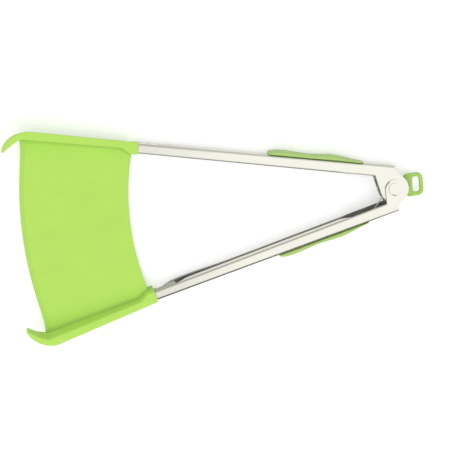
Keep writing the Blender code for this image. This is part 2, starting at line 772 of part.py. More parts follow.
def spring_path():
    """Centre line of the torsion spring: a leg, a helix about the pivot and the other leg."""
    radius = BUSH_RADIUS + RUNNING_GAP + SPRING_WIRE / 2
    low = SLIDE_HIGH + RUNNING_GAP + SPRING_WIRE / 2
    high = CAGE_HIGH - RUNNING_GAP - SPRING_WIRE / 2
    leg_out = arm_out(SPRING_LEG_END) - STEEL - SEAT_GAP - SPRING_WIRE / 2

    def leg_end(side):
        return opened(side, SPRING_LEG_END, leg_out, low).to_2d()

    def tangent_angle(point, sign):
        facing = math.atan2(point.y, point.x)
        return facing + sign * math.acos(radius / point.length)

    enter, leave = leg_end("b"), leg_end("a")
    first = tangent_angle(enter, 1)
    last = tangent_angle(leave, -1)
    while last < first:
        last += 2 * math.pi
    last += 2 * math.pi * SPRING_TURNS
    steps = round((last - first) / (2 * math.pi) * TURN_POINTS)
    points = [Vector((enter.x, enter.y, low))]
    for step in range(steps + 1):
        angle = blend(first, last, step / steps)
        height = blend(low, high, step / steps)
        points.append(Vector((radius * math.cos(angle), radius * math.sin(angle), height)))
    points.append(Vector((leave.x, leave.y, points[-1].z)))
    return points


def print_spring_gap(points):
    """Print the least gap between the spring's turns."""
    gaps = []
    for i, point in enumerate(points):
        for other in points[i + TURN_POINTS // 2:]:
            gaps.append((other - point).length - SPRING_WIRE)
    print(f"spring: least gap between turns {min(gaps):.5f} m")


def make_spring():
    """Torsion spring: one unbroken wire, its section swept along the centre line."""
    points = spring_path()
    print_spring_gap(points)
    up = Vector((0, 0, 1))
    rings = []
    for i, point in enumerate(points):
        before = points[max(i - 1, 0)]
        after = points[min(i + 1, len(points) - 1)]
        sideways = (after - before).cross(up).normalized()
        rings.append([])
        for step in range(WIRE_SIDES):
            angle = 2 * math.pi * step / WIRE_SIDES
            reach = sideways * math.cos(angle) + up * math.sin(angle)
            rings[-1].append(point + reach * SPRING_WIRE / 2)
    return add_object("spring", loft("spring", rings), dark_steel())


def make_lock_slide():
    """Flat steel slide with a round nose and a slot for the bush."""
    slot_radius = BUSH_RADIUS + RUNNING_GAP
    slot_inner = -SLIDE_TRAVEL - RUNNING_GAP
    half_width = slot_radius + SLIDE_SIDE_WALL
    outer_end = RING_START + SLIDE_IN_RING
    outline = [(outer_end, -half_width), (outer_end, half_width)]
    for step in range(ROUND_STEPS // 2 + 1):
        angle = math.pi * (0.5 + 2 * step / ROUND_STEPS)
        outline.append((slot_inner + half_width * math.cos(angle), half_width * math.sin(angle)))
    slide = add_object("lock_slide", prism("lock_slide", outline, SLIDE_LOW, SLIDE_HIGH), steel())
    slot = prism("lock_slide_slot", stadium(slot_inner, 0.0, slot_radius),
                 SLIDE_LOW - CUT_OVERRUN, SLIDE_HIGH + CUT_OVERRUN)
    cut(slide, [slot, ring_pin_mesh("lock_slide_hole", RING_PIN_RADIUS + SEAT_GAP, CUT_OVERRUN)])
    return slide


def ring_pin_mesh(name, radius, overrun=0.0):
    """The pin that holds the ring on the slide, or its hole."""
    low = RING_LOW - overrun
    high = RING_HIGH + overrun
    profile = ((0, low), (radius, low), (radius, high), (0, high))
    return turned(name, profile, centre=(RING_PIN_PLACE, 0, 0))


def make_pull_ring():
    """Moulded ring at the tail: pulls the lock out, and hangs the tongs from a hook."""
    half_width = RING_WIDTH / 2
    outline = rounded_box_outline(RING_START, TAIL_REACH, half_width, RING_ROUND)
    ring = add_object("pull_ring", prism("pull_ring", outline, RING_LOW, RING_HIGH), nylon())
    hole_end = TAIL_REACH - RING_RIM
    hole = rounded_box_outline(hole_end - RING_HOLE_LENGTH, hole_end, half_width - RING_RIM,
                               RING_ROUND / 2)
    slide_half = BUSH_RADIUS + RUNNING_GAP + SLIDE_SIDE_WALL + SEAT_GAP
    pocket_end = RING_START + SLIDE_IN_RING + SEAT_GAP
    pocket_start = RING_START - CUT_OVERRUN
    pocket = ((pocket_start, -slide_half), (pocket_end, -slide_half), (pocket_end, slide_half),
              (pocket_start, slide_half))
    cut(ring, [prism("pull_ring_hole", hole, RING_LOW - CUT_OVERRUN, RING_HIGH + CUT_OVERRUN),
               prism("pull_ring_pocket", pocket, SLIDE_LOW - SEAT_GAP, SLIDE_HIGH + SEAT_GAP),
               ring_pin_mesh("pull_ring_pin_hole", RING_PIN_RADIUS + SEAT_GAP, CUT_OVERRUN)])
    return ring


def clear_scene():
    """Remove the objects that the scene starts with."""
    for item in list(bpy.data.objects):
        bpy.data.objects.remove(item, do_unlink=True)


def main():
    clear_scene()
    empties = make_arm_empties()
    for side, empty in empties.items():
        make_arm(side, empty)
        make_grip(side, empty)
        make_jaw_core(side, empty)
        make_jaw_cover(side, empty)
        for number, setback in enumerate(RIVET_SETBACKS, 1):
            make_tang_rivet(side, number, setback, empty)
    make_web()
    make_pivot_pin()
    make_spring_bush()
    make_spring()
    make_lock_slide()
    make_pull_ring()
    add_object("ring_pin", ring_pin_mesh("ring_pin", RING_PIN_RADIUS), steel())


main()
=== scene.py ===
"""Dresses spatula tongs: silicone jaws, grips and web, brushed steel and moulded nylon.

The arm frame is the CAD model's: along is the distance from the hinge axis towards a jaw, out is
the distance from the closing plane, and z is up. Every size is in metres.
"""

import math

import bpy
import numpy as np
from mathutils import Matrix, Vector


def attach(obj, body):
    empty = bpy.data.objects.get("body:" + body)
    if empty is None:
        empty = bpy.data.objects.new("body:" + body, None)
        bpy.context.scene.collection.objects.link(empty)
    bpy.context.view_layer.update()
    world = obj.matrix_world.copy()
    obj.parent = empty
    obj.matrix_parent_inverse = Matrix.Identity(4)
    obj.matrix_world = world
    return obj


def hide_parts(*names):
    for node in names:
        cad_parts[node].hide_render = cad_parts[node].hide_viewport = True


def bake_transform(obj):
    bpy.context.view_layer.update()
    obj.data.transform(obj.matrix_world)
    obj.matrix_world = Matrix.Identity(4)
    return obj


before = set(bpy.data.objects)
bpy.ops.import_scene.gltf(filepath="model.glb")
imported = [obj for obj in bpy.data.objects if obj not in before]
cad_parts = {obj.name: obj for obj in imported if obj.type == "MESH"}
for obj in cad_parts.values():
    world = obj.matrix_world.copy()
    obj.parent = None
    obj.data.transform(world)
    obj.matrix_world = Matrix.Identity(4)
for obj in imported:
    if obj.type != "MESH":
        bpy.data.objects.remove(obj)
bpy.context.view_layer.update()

bl_info = {
    "name": "Spatula tongs",
    "version": (1, 0, 0),
    "blender": (4, 5, 0),
    "location": "3D View > Sidebar > Tongs",
    "description": "Silicone, steel and nylon pieces for a pair of spatula tongs",
    "category": "Object",
}

SIDES = {"a": -1, "b": 1}
UP = (0.0, 0.0, 1.0)
NO_FANS = np.zeros((0, 3), int)

# Places and sizes of the CAD model
OPEN_HALF_ANGLE = math.radians(13.2)
SEAT_GAP = 0.0003
COLLAR_START = 0.1882
GUSSET_START = 0.1928
RIM_START = 0.2004
HOOK_START = 0.2698
HOOK_REACH = 0.013
HOOK_OUTER_LEAD = 0.0043
RIM_LIFT = 0.006
RIM_RISE = 0.0069
JAW_DEPTH = 0.0164
TIP_DEPTH = 0.0134
COLLAR_INNER = 0.0071
COLLAR_WALL = 0.0086
GUSSET_EASE_SHARE = 0.3
RIM_INNER = 0.0109
RIM_WALL_AT_COLLAR = 0.0052
RIM_WALL_AT_HOOK = 0.0061
OUTER_LEAN = math.radians(10.0)
INNER_LEAN = math.radians(5.5)
COLLAR_LEAN_SHARE = 0.55
TIP_CLEARANCE = 0.0004
TIP_THICKNESS = 0.0014
HOOK_OUTER_SHARES = ((0.0, 1.0), (0.3, 0.985), (0.93, 0.62), (1.0, 0.0))
HOOK_INNER_SHARES = ((0.0, 1.0), (0.22, 0.93), (0.66, 0.45), (1.0, 0.0))
WEB_HEIGHT = 0.008
WEB_REAR = 0.1918
WEB_FRONT = 0.2686
STEEL = 0.0009
STEEL_END = 0.1879
ARM_OUT_AT_HINGE = 0.0165
ARM_OUT_AT_JAW = 0.0146
ARM_IN_AT_HINGE = 0.008
ARM_IN_AT_JAW = 0.0078
BASE_END = 0.002
CHANNEL_LOW = 0.0016
CHANNEL_WIDTH = 0.0132
CHANNEL_BEND = 0.002
EAR_TURN = {"a": 0.009, "b": 0.0155}
EAR_RADIUS = {"a": 0.007, "b": 0.0105}
EAR_INSET = {"a": 0.0, "b": 0.0012}
EAR_STEP_START = 0.034
EAR_STEP_END = 0.028
TANG_TIP = 0.1627
TANG_WEDGE_END = 0.1717
TANG_TIP_THICKNESS = 0.0008
PIVOT_RADIUS = 0.002
PIVOT_HEAD_RADIUS = 0.0046
RIVET_HEAD_RADIUS = 0.0021
RIVET_PLACE_SHARES = (0.26, 0.68)
SPRING_COIL = 0.0038
SPRING_WIRE = 0.0008
SPRING_TURNS = 2
SPRING_LOW = 0.0069
SPRING_HIGH = 0.0116
SPRING_LEG_END = 0.026
RING_START = 0.008
TAIL_REACH = 0.023
RING_HALF_WIDTH = 0.0085
RING_RIM = 0.0028
RING_HOLE_LENGTH = 0.0053
RING_ROUND = 0.0045
RING_LOW = 0.004
RING_HIGH = 0.007
GRIP_START = 0.025
GRIP_LENGTH = 0.0698
GRIP_END_THICKNESS = 0.0008
GRIP_NOSE_LENGTH = 0.0125
GRIP_TAIL_LENGTH = 0.024
GRIP_SADDLE_PLACE = 0.03
GRIP_SADDLE_WIDTH = 0.012
BUTTON_RADIUS = 0.0019
BUTTON_HEAD_RADIUS = 0.003
BUTTON_HEAD_THICKNESS = 0.0011
BUTTON_PLACE_SHARES = (0.28, 0.72)

# Gap between hard surfaces that touch, so that their skins don't flicker
TOUCH_GAP = 0.0001

# Rows and columns of the surfaces' grids
NECK_ROWS = (6, 14)
RIM_ROWS = 60
HOOK_ROWS = 30
WEB_ROWS = (12, 40)
WEB_NOSE_ROWS = 16
WEB_COLUMNS = 40
GRIP_ROWS = 70
GRIP_NOSE_ROWS = 24
GRIP_COLUMNS = 48
ARM_ROWS = (50, 28, 16)
EAR_ROWS = 26
FLANGE_COLUMNS = 7
BEND_COLUMNS = 9
HEM_COLUMNS = 6
TANG_ROWS = 16
DOME_ROWS = 8
PIVOT_EDGE_ROWS = 7
PIVOT_COLUMNS = 64
COIL_ROWS = 140
LEG_ROWS = 12
LEG_BEND_ROWS = 10
WIRE_COLUMNS = 14

# Size of the extra ring on a jaw's flat ends, which keeps their edges crisp
JAW_END_SHARE = 0.9

# Web: its front lip thins and ends in a round nose, and its edges sit in the rims
WEB_FINE_START = 0.264
WEB_LIP_DEPTH = 0.007
WEB_LIP_THINNING = 0.35
WEB_LIP_DROP_SHARE = 0.3
WEB_NOSE_DEPTH = 0.0005
WEB_NOSE_SHARE = 0.35
WEB_FILLET_SHARE = 0.035
WEB_BITE = 0.0002
WEB_CORNER_POWER = 12
WEB_CORNER_WIDTH = 0.003

# Grip: the squareness of its section, and how its ends draw in
GRIP_WIDE_POWER = 0.42
GRIP_TALL_POWER = 0.55
GRIP_END_ROUND = 0.004
GRIP_END_WIDTH_SHARE = 0.62

# Arm: the upper flange's rolled edge with its lip, and the lower flange's waved edge
ARM_FINE_START = 0.04
ARM_EDGE_BEVEL = 0.00022
RAW_STEEL_METALLIC = 0.7
EAR_TIP_SHARE = 0.9995
HEM_RADIUS = 0.001
LEAST_HEM_RADIUS = 0.0001
HEM_END = 0.036
HEM_FADE = 0.008
LIP_DEPTH = 0.006
LIP_FADE = 0.01
LEAST_LIP = 0.0001

# Each bell curve of the waved edge: height, place and width
LOW_EDGE_BULGE = (0.0011, 0.162, 0.02)
LOW_EDGE_DIP = (0.0017, 0.183, 0.005)

# Tang, rivets, pivot, spring and ring
TANG_END = 0.19
TANG_RECESS = 0.0003
TANG_ROUND = 0.0003
# Painted shadow: share of the tang colour left on the tang's wedge end, dark as the shade in the
# channel's mouth
TANG_END_SHADE = 0.12
RIVET_DOME = 0.0003
RIVET_SINK = 0.0004
RIVET_DOME_ANGLE = 0.48 * math.pi
PIVOT_HEAD_ROUND = 0.0009
PIVOT_FLAT_SHARE = 0.5
SPRING_LAP = math.radians(20.0)
SPRING_LEG_SWELL = 1.01
RING_EDGE_ROUND = 0.0011

# An arm's surface map: 0 to 1 over this width from a flange's free edge, 1 on the back, and from
# 2 to 3 round a fold, which ends at the back
EDGE_MAP_WIDTH = 0.006
FOLD_MAP_START = 2

# Where most of a noise's values lie
NOISE_LOW = 0.3
NOISE_HIGH = 0.7

# Where a finish darkens along a surface map: axis, start, full, share of the colour left. Each web
# layer and the steel's edge and fold layers are painted shade; the steel's last layer is a darker
# tone towards the jaws
STEEL_SHADES = ((0, 0.23, 0.05, 0.45), (0, 2.1, 2.5, 0.55), (1, 0.12, 0.19, 0.85))
WEB_PAINTED_SHADES = ((1, 0.95, 0.962, 0.94), (1, 0.985, 1.0, 0.86), (1, 0.014, 0.0, 0.9),
              (0, 0.95, 0.995, 0.74))

# Stage: the floor, the light and a card that only reflections show
FLOOR_CORNERS = ((-3, -3, 0), (3, -3, 0), (3, 3, 0), (-3, 3, 0))
FLOOR_TONES = ((0.9, 0.9, 0.9), (0.915, 0.915, 0.915))
FLOOR_LIFT = 0.34
FLOOR_SHARE_IN_GLOSS = 0.5
WORLD_LEVEL = 0.62
LAMPS = (("key", (-0.25, -0.6, 1.4), 8.0), ("fill", (-0.5, 0.5, 1.4), 3.0))
LAMP_SIZE = 1.4
LAMP_AIM = (-0.12, 0.0, 0.0)
CARD_TONE = (0.16, 0.16, 0.16, 1.0)
CARD_CORNERS = ((-0.26, -0.6, 0.0), (0.28, -0.6, 0.0), (0.28, -0.75, 1.1), (-0.26, -0.75, 1.1),
                (-0.26, -0.12, 0.0008), (0.28, -0.12, 0.0008))
CARD_FACES = ((0, 1, 2, 3), (0, 4, 5, 1))

# Camera, at the photograph's angle
CAMERA_PITCH = 0.2243
CAMERA_YAW = 0.1186
CAMERA_ROLL = 0.1112
CAMERA_DISTANCE = 1.2397
CAMERA_ASIDE = 0.11566
CAMERA_BELOW = 0.0326
CAMERA_AIM_HEIGHT = 0.0164
CAMERA_LENS = 131.81


def blend(low, high, share):
    """The value a share of the way from low to high."""
    return low + (high - low) * share


def smoothstep(share):
    """Ease from 0 to 1, level at both ends: 3 s squared less 2 s cubed."""
    share = np.clip(share, 0.0, 1.0)
    return share * share * (3 - 2 * share)


def bell(along, height, middle, width):
    """A bell curve: height times e to the power of less the square of the distance in widths."""
    return height * np.exp(-((along - middle) / width) ** 2)


def end_spaced(count):
    """Shares from 0 to 1 as the sine of a quarter turn, closer together towards 1."""
    return np.sin(np.linspace(0, math.pi / 2, count))


def stations(places, rows):
    """Places along a piece, with rows of them evenly over each stretch between two."""
    stretches = [np.linspace(*stretch)[:-1] for stretch in zip(places, places[1:], rows)]
    return np.concatenate((*stretches, places[-1:]))


def quarter_circle(share):
    """Rise from 0 to 1 as a quarter circle, steep at first: the root of 1 less (1 - s) squared."""
    return np.sqrt(1 - (1 - share) ** 2)


def gusset_share(along):
    """How much of the change from collar to rim is done: almost straight, eased at its ends."""
    share = np.clip((along - GUSSET_START) / (RIM_START - GUSSET_START), 0.0, 1.0)
    return blend(share, smoothstep(share), GUSSET_EASE_SHARE)


def rim_share(along):
    """How far along the rim a place is, from 0 at the gusset to 1 at the hook."""
    return np.clip((along - RIM_START) / (HOOK_START - RIM_START), 0.0, 1.0)


def lean_share(along):
    """How much of the walls' lean is reached: part of it at the collar, all of it at the rim."""
    return blend(COLLAR_LEAN_SHARE, 1.0,
                 np.clip((along - COLLAR_START) / (RIM_START - COLLAR_START), 0.0, 1.0))


def jaw_inner(along, z):
    """Inner face of the jaw at a height: its upper edge, less the drop times the lean's tangent."""
    edge = blend(COLLAR_INNER, RIM_INNER, gusset_share(along))
    drop = JAW_DEPTH + RIM_RISE * rim_share(along) - z
    return edge - drop * math.tan(INNER_LEAN) * lean_share(along)


def arm_out(along):
    """Outer surface of an arm's back, a straight taper from hinge to jaw."""
    return blend(ARM_OUT_AT_HINGE, ARM_OUT_AT_JAW, along / STEEL_END)


def arm_in(along):
    """Free edge of an arm's flanges, a straight taper from hinge to jaw."""
    return blend(ARM_IN_AT_HINGE, ARM_IN_AT_JAW, along / STEEL_END)


def low_cut(along):
    """How far the lower flange's free edge is cut back: one bell curve less another."""
    return bell(along, *LOW_EDGE_DIP) - bell(along, *LOW_EDGE_BULGE)


def opened(side, along, out, z):
    """Arm frame to the model's frame: mirrored for arm_a, then turned about Z to the open place."""
    sign = SIDES[side]
    turn = -sign * OPEN_HALF_ANGLE
    x, y = -along, sign * out
    return np.stack(np.broadcast_arrays(x * math.cos(turn) - y * math.sin(turn),
                                        x * math.sin(turn) + y * math.cos(turn), z), axis=-1)


def curve(points, share):
    """Cubic curve through two ends and two control points, at an array of shares."""
    share = share[:, None]
    left = 1 - share
    weights = (left ** 3, 3 * left * left * share, 3 * left * share * share, share ** 3)
    return sum(weight * np.array(point) for weight, point in zip(weights, points))


def unit(vectors):
    """The vectors at length 1."""
    return vectors / np.linalg.norm(vectors, axis=-1, keepdims=True)


def rounded(corners, radius, steps=6):
    """Rings of corners, each corner replaced by a quadratic curve that starts a radius away.

    corners is stations x corners x 3. radius is one value, or one for each station.
    """
    radius = np.asarray(radius).reshape(-1, 1, 1)
    before = radius * unit(np.roll(corners, 1, axis=1) - corners)
    after = radius * unit(np.roll(corners, -1, axis=1) - corners)
    share = np.linspace(0, 1, steps + 1).reshape(1, 1, -1, 1)
    ring = (corners[:, :, None] + before[:, :, None] * (1 - share) ** 2
            + after[:, :, None] * share ** 2)
    return ring.reshape(len(corners), -1, 3)


def quads_of(index):
    """Quads between neighbouring rows and columns of point numbers."""
    return np.stack((index[:-1, :-1], index[:-1, 1:], index[1:, 1:], index[1:, :-1]),
                    axis=-1).reshape(-1, 4)


def numbered(points, first=0):
    """Point numbers in the rows and columns of an array of points."""
    return first + np.arange(points.shape[0] * points.shape[1]).reshape(points.shape[:2])


def loft(rings):
    """Closed body through rings of points, with a fan of triangles over each end."""
    here = np.pad(numbered(rings), ((0, 0), (0, 1)), mode="wrap")
    first, last = (np.full(rings.shape[1], here.max() + number) for number in (1, 2))
    fans = [np.stack((here[0, 1:], here[0, :-1], first), axis=-1),
            np.stack((here[-1, :-1], here[-1, 1:], last), axis=-1)]
    points = np.vstack((rings.reshape(-1, 3), rings[[0, -1]].mean(axis=1)))
    return points, quads_of(here), np.vstack(fans)


def slab(top, bottom):
    """Closed body between two sheets of points, with a strip of quads round the edge."""
    upper = numbered(top)
    loop = np.concatenate((upper[0, :-1], upper[:-1, -1], upper[-1, :0:-1], upper[:0:-1, 0]))
    under = loop + upper.size
    strip = np.stack((np.roll(loop, -1), loop, under, np.roll(under, -1)), axis=-1)
    quads = np.vstack((quads_of(upper), quads_of(upper + upper.size)[:, [0, 3, 2, 1]], strip))
    return np.vstack((top.reshape(-1, 3), bottom.reshape(-1, 3))), quads, NO_FANS


def spun(profile, axis, across, centre, count=32):
    """Closed round body: a profile of (radius, height) pairs turned about an axis at a centre."""
    angle = np.linspace(0, 2 * math.pi, count, endpoint=False)
    axis, across = np.array(axis), np.array(across)
    round_way = np.cross(axis, across)
    reach = np.cos(angle)[:, None] * across + np.sin(angle)[:, None] * round_way
    profile = np.array(profile)
    wide, tall = profile[:, 0, None, None], profile[:, 1, None, None]
    return loft(wide * reach[None] + tall * axis + np.array(centre))


def outward(shell):
    """The shell with its faces turned outwards, from the sign of its volume."""
    points, quads, fans = shell
    triangles = np.vstack((quads[:, :3], quads[:, [0, 2, 3]], fans))
    a, b, c = (points[triangles[:, i]] for i in range(3))
    volume = np.einsum("ij,ij->", a - points[0], np.cross(b - points[0], c - points[0]))
    return shell if volume > 0 else (points, quads[:, ::-1], fans[:, ::-1])


def added(name, data):
    """A new object in the scene."""
    made = bpy.data.objects.new(name, data)
    bpy.context.scene.collection.objects.link(made)
    return made


def make_piece(name, shells, finish, body, replaces, coordinates=None, crease=40, closed=True):
    """A mesh object from shells that rides on a body, if given, and stands for CAD nodes."""
    points, faces, start = [], [], 0
    for shell in shells:
        shell_points, quads, fans = outward(shell) if closed else shell
        points.append(shell_points)
        faces += (quads + start).tolist() + (fans + start).tolist()
        start += len(shell_points)
    mesh = bpy.data.meshes.new(name)
    mesh.from_pydata(np.vstack(points).tolist(), [], faces)
    mesh.update()
    if coordinates is not None:
        corner = np.empty(len(mesh.loops), dtype=np.int32)
        mesh.loops.foreach_get("vertex_index", corner)
        layer = mesh.uv_layers.new(name="surface")
        layer.data.foreach_set("uv", coordinates[corner].astype(np.float32).ravel())
    mesh.shade_smooth()
    mesh.set_sharp_from_angle(angle=math.radians(crease))
    mesh.materials.append(finish)
    made = added(name, mesh)
    if body:
        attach(made, body)
    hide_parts(*replaces)
    return made


def jaw_corners(side):
    """The jaw's four corner lines from the collar's open end to the hook's tip.

    The straight part runs between two stations and each hook line is a cubic curve. Outer and inner
    faces lean towards the closing plane by their drop below the upper face, and the lean fades out
    along the hook.
    """
    neck = stations((COLLAR_START, GUSSET_START, RIM_START), NECK_ROWS)[:-1]
    gusset = gusset_share(neck)
    neck_outer = blend(COLLAR_INNER + COLLAR_WALL, RIM_INNER + RIM_WALL_AT_COLLAR, gusset)
    neck_inner = blend(COLLAR_INNER, RIM_INNER, gusset)
    share = np.linspace(0, 1, RIM_ROWS)[:-1]
    hook = np.linspace(0, 1, HOOK_ROWS)
    tip = HOOK_START + HOOK_REACH

    def hook_line(begin, end, shares):
        return curve([(blend(begin[0], end, forth), blend(TIP_CLEARANCE, begin[1], back))
                      for forth, back in shares], hook)

    outer_hook = hook_line((HOOK_START - HOOK_OUTER_LEAD, RIM_INNER + RIM_WALL_AT_HOOK), tip,
                           HOOK_OUTER_SHARES)
    inner_hook = hook_line((HOOK_START, RIM_INNER), tip - TIP_THICKNESS, HOOK_INNER_SHARES)
    outer_along = np.concatenate((neck, blend(RIM_START, HOOK_START - HOOK_OUTER_LEAD, share),
                                  outer_hook[:, 0]))
    inner_along = np.concatenate((neck, blend(RIM_START, HOOK_START, share), inner_hook[:, 0]))
    outer = np.concatenate((neck_outer,
                            RIM_INNER + blend(RIM_WALL_AT_COLLAR, RIM_WALL_AT_HOOK, share),
                            outer_hook[:, 1]))
    inner = np.concatenate((neck_inner, np.full(len(share), RIM_INNER), inner_hook[:, 1]))
    low = np.concatenate((RIM_LIFT * gusset, np.full(len(share), RIM_LIFT),
                          blend(RIM_LIFT, JAW_DEPTH + RIM_RISE - TIP_DEPTH, smoothstep(hook))))
    risen = np.concatenate((np.zeros(len(neck)), share, np.ones(len(hook))))
    high = JAW_DEPTH + RIM_RISE * risen
    lean = np.concatenate((lean_share(neck), np.ones(len(share)), 1 - smoothstep(hook)))
    outer_low = outer - (high - low) * math.tan(OUTER_LEAN) * lean
    inner_low = inner - (high - low) * math.tan(INNER_LEAN) * lean
    corners = np.stack([opened(side, *line) for line in
                        ((outer_along, outer, high), (outer_along, outer_low, low),
                         (inner_along, inner_low, low), (inner_along, inner, high))], axis=1)
    thin = np.hypot(outer_along - inner_along, outer - inner)
    return corners, thin


def jaw_shell(side, edge_round):
    """The jaw cover: its four corner lines with round edges, closed at collar and tip."""
    corners, thin = jaw_corners(side)
    rings = rounded(corners, np.minimum(edge_round, thin / 3))
    centre = rings[[0, -1]].mean(axis=1, keepdims=True)
    ends = blend(centre, rings[[0, -1]], JAW_END_SHARE)
    return loft(np.concatenate((ends[:1], rings, ends[1:])))


def web_shell(side, sizes):
    """Half of the web: an arc about the hinge from the closing plane to the rim.

    Rows run from collar to tip. The sheet sags as a parabola, thins to its front lip as a smooth
    step and ends there in a quarter circle. The radius grows in the front corner as a high power
    of the share across times a bell curve, and the upper face rises to the rim as the square of
    the last few shares.
    """
    along = np.concatenate((stations((WEB_REAR, RIM_START, WEB_FINE_START), WEB_ROWS)[:-1],
                            blend(WEB_FINE_START, WEB_FRONT, end_spaced(WEB_NOSE_ROWS))))
    u, v = np.meshgrid(end_spaced(WEB_COLUMNS), along)
    to_front = WEB_FRONT - v
    lip = smoothstep(1 - to_front / WEB_LIP_DEPTH)
    thickness = sizes.web_thickness * (1 - WEB_LIP_THINNING * lip)
    to_end = np.clip(to_front / WEB_NOSE_DEPTH, 0, 1)
    thickness *= blend(WEB_NOSE_SHARE, 1, quarter_circle(to_end))
    sag = sizes.web_sag * (1 - u ** 2)
    rise = sizes.web_fillet * np.clip(1 - (1 - u) / WEB_FILLET_SHARE, 0, 1) ** 2
    top = WEB_HEIGHT - sag + rise - WEB_LIP_DROP_SHARE * (sizes.web_thickness - thickness)
    run_on = u ** WEB_CORNER_POWER * bell(to_front, sizes.web_corner, 0, WEB_CORNER_WIDTH)
    sheets = []
    for z in (top, top - thickness - rise):
        out = jaw_inner(v, z) + WEB_BITE
        radius = np.hypot(v, out) + run_on
        angle = (OPEN_HALF_ANGLE + np.arcsin(out / radius)) * u * SIDES[side]
        sheets.append(np.stack((-radius * np.cos(angle), radius * np.sin(angle), z), axis=-1))
    # Surface map across and along the web, which places its painted shade
    share = np.stack((u, (v - WEB_REAR) / (WEB_FRONT - WEB_REAR)), axis=-1).reshape(-1, 2)
    return slab(*sheets), np.vstack((share, share))


def grip_shell(side, sizes):
    """Grip pad: a section along the arm's back, with a round nose, a saddle and a thin tail.

    Its height is the end thickness plus a bump: an eased tail, less a bell-shaped saddle, times a
    quarter ellipse at the nose. Each section is a squared ellipse, a power of the sine and cosine.
    """
    nose_start = GRIP_START + GRIP_LENGTH - GRIP_NOSE_LENGTH
    along = np.concatenate((np.linspace(GRIP_START, nose_start, GRIP_ROWS)[:-1],
                            nose_start + GRIP_NOSE_LENGTH * end_spaced(GRIP_NOSE_ROWS)))
    from_nose = GRIP_START + GRIP_LENGTH - along
    saddle = bell(from_nose, sizes.grip_saddle, GRIP_SADDLE_PLACE, GRIP_SADDLE_WIDTH)
    full = sizes.grip_thickness - GRIP_END_THICKNESS - saddle
    nose = quarter_circle(np.minimum(from_nose / GRIP_NOSE_LENGTH, 1))
    height = GRIP_END_THICKNESS + full * smoothstep((along - GRIP_START) / GRIP_TAIL_LENGTH) * nose
    ends = np.minimum(np.minimum(from_nose, along - GRIP_START) / GRIP_END_ROUND, 1)
    half_width = ((CHANNEL_WIDTH / 2 - SEAT_GAP)
                  * blend(GRIP_END_WIDTH_SHARE, 1, quarter_circle(ends)))
    angle = np.linspace(0, 2 * math.pi, GRIP_COLUMNS, endpoint=False)
    wide = np.sign(np.cos(angle)) * np.abs(np.cos(angle)) ** GRIP_WIDE_POWER
    tall = (1 + np.sign(np.sin(angle)) * np.abs(np.sin(angle)) ** GRIP_TALL_POWER) / 2
    out = arm_out(along)[:, None] + TOUCH_GAP + height[:, None] * tall
    z = JAW_DEPTH / 2 + half_width[:, None] * wide
    return loft(opened(side, along[:, None], out, z))


def touch_angle(point, radius, sign):
    """Where a straight line from a point touches a circle round the pivot, as an angle."""
    return math.atan2(point[1], point[0]) + sign * math.acos(radius / math.hypot(*point[:2]))


def ear_edges(side):
    """Two functions of along: the hinge ear's inner edge and its outer edge.

    Each is a straight line that touches the ear's circle round the pivot, then the circle.
    """
    radius = EAR_RADIUS[side]
    turn = EAR_TURN[side]
    first = (turn, arm_in(turn))
    last = (BASE_END, arm_out(BASE_END) - CHANNEL_BEND)

    low, high = (radius * np.array((math.cos(angle), math.sin(angle)))
                 for angle in (touch_angle(first, radius, -1), touch_angle(last, radius, 1)))

    def circle(along):
        return np.sqrt(np.maximum(radius ** 2 - along ** 2, 0))

    def inner(along):
        line = blend(low[1], first[1], (along - low[0]) / (first[0] - low[0]))
        return np.where(along > turn, arm_in(along), np.where(along > low[0], line, -circle(along)))

    def outer(along):
        line = blend(high[1], last[1], (along - high[0]) / (last[0] - high[0]))
        return np.where(along > high[0], line, circle(along))

    return inner, outer


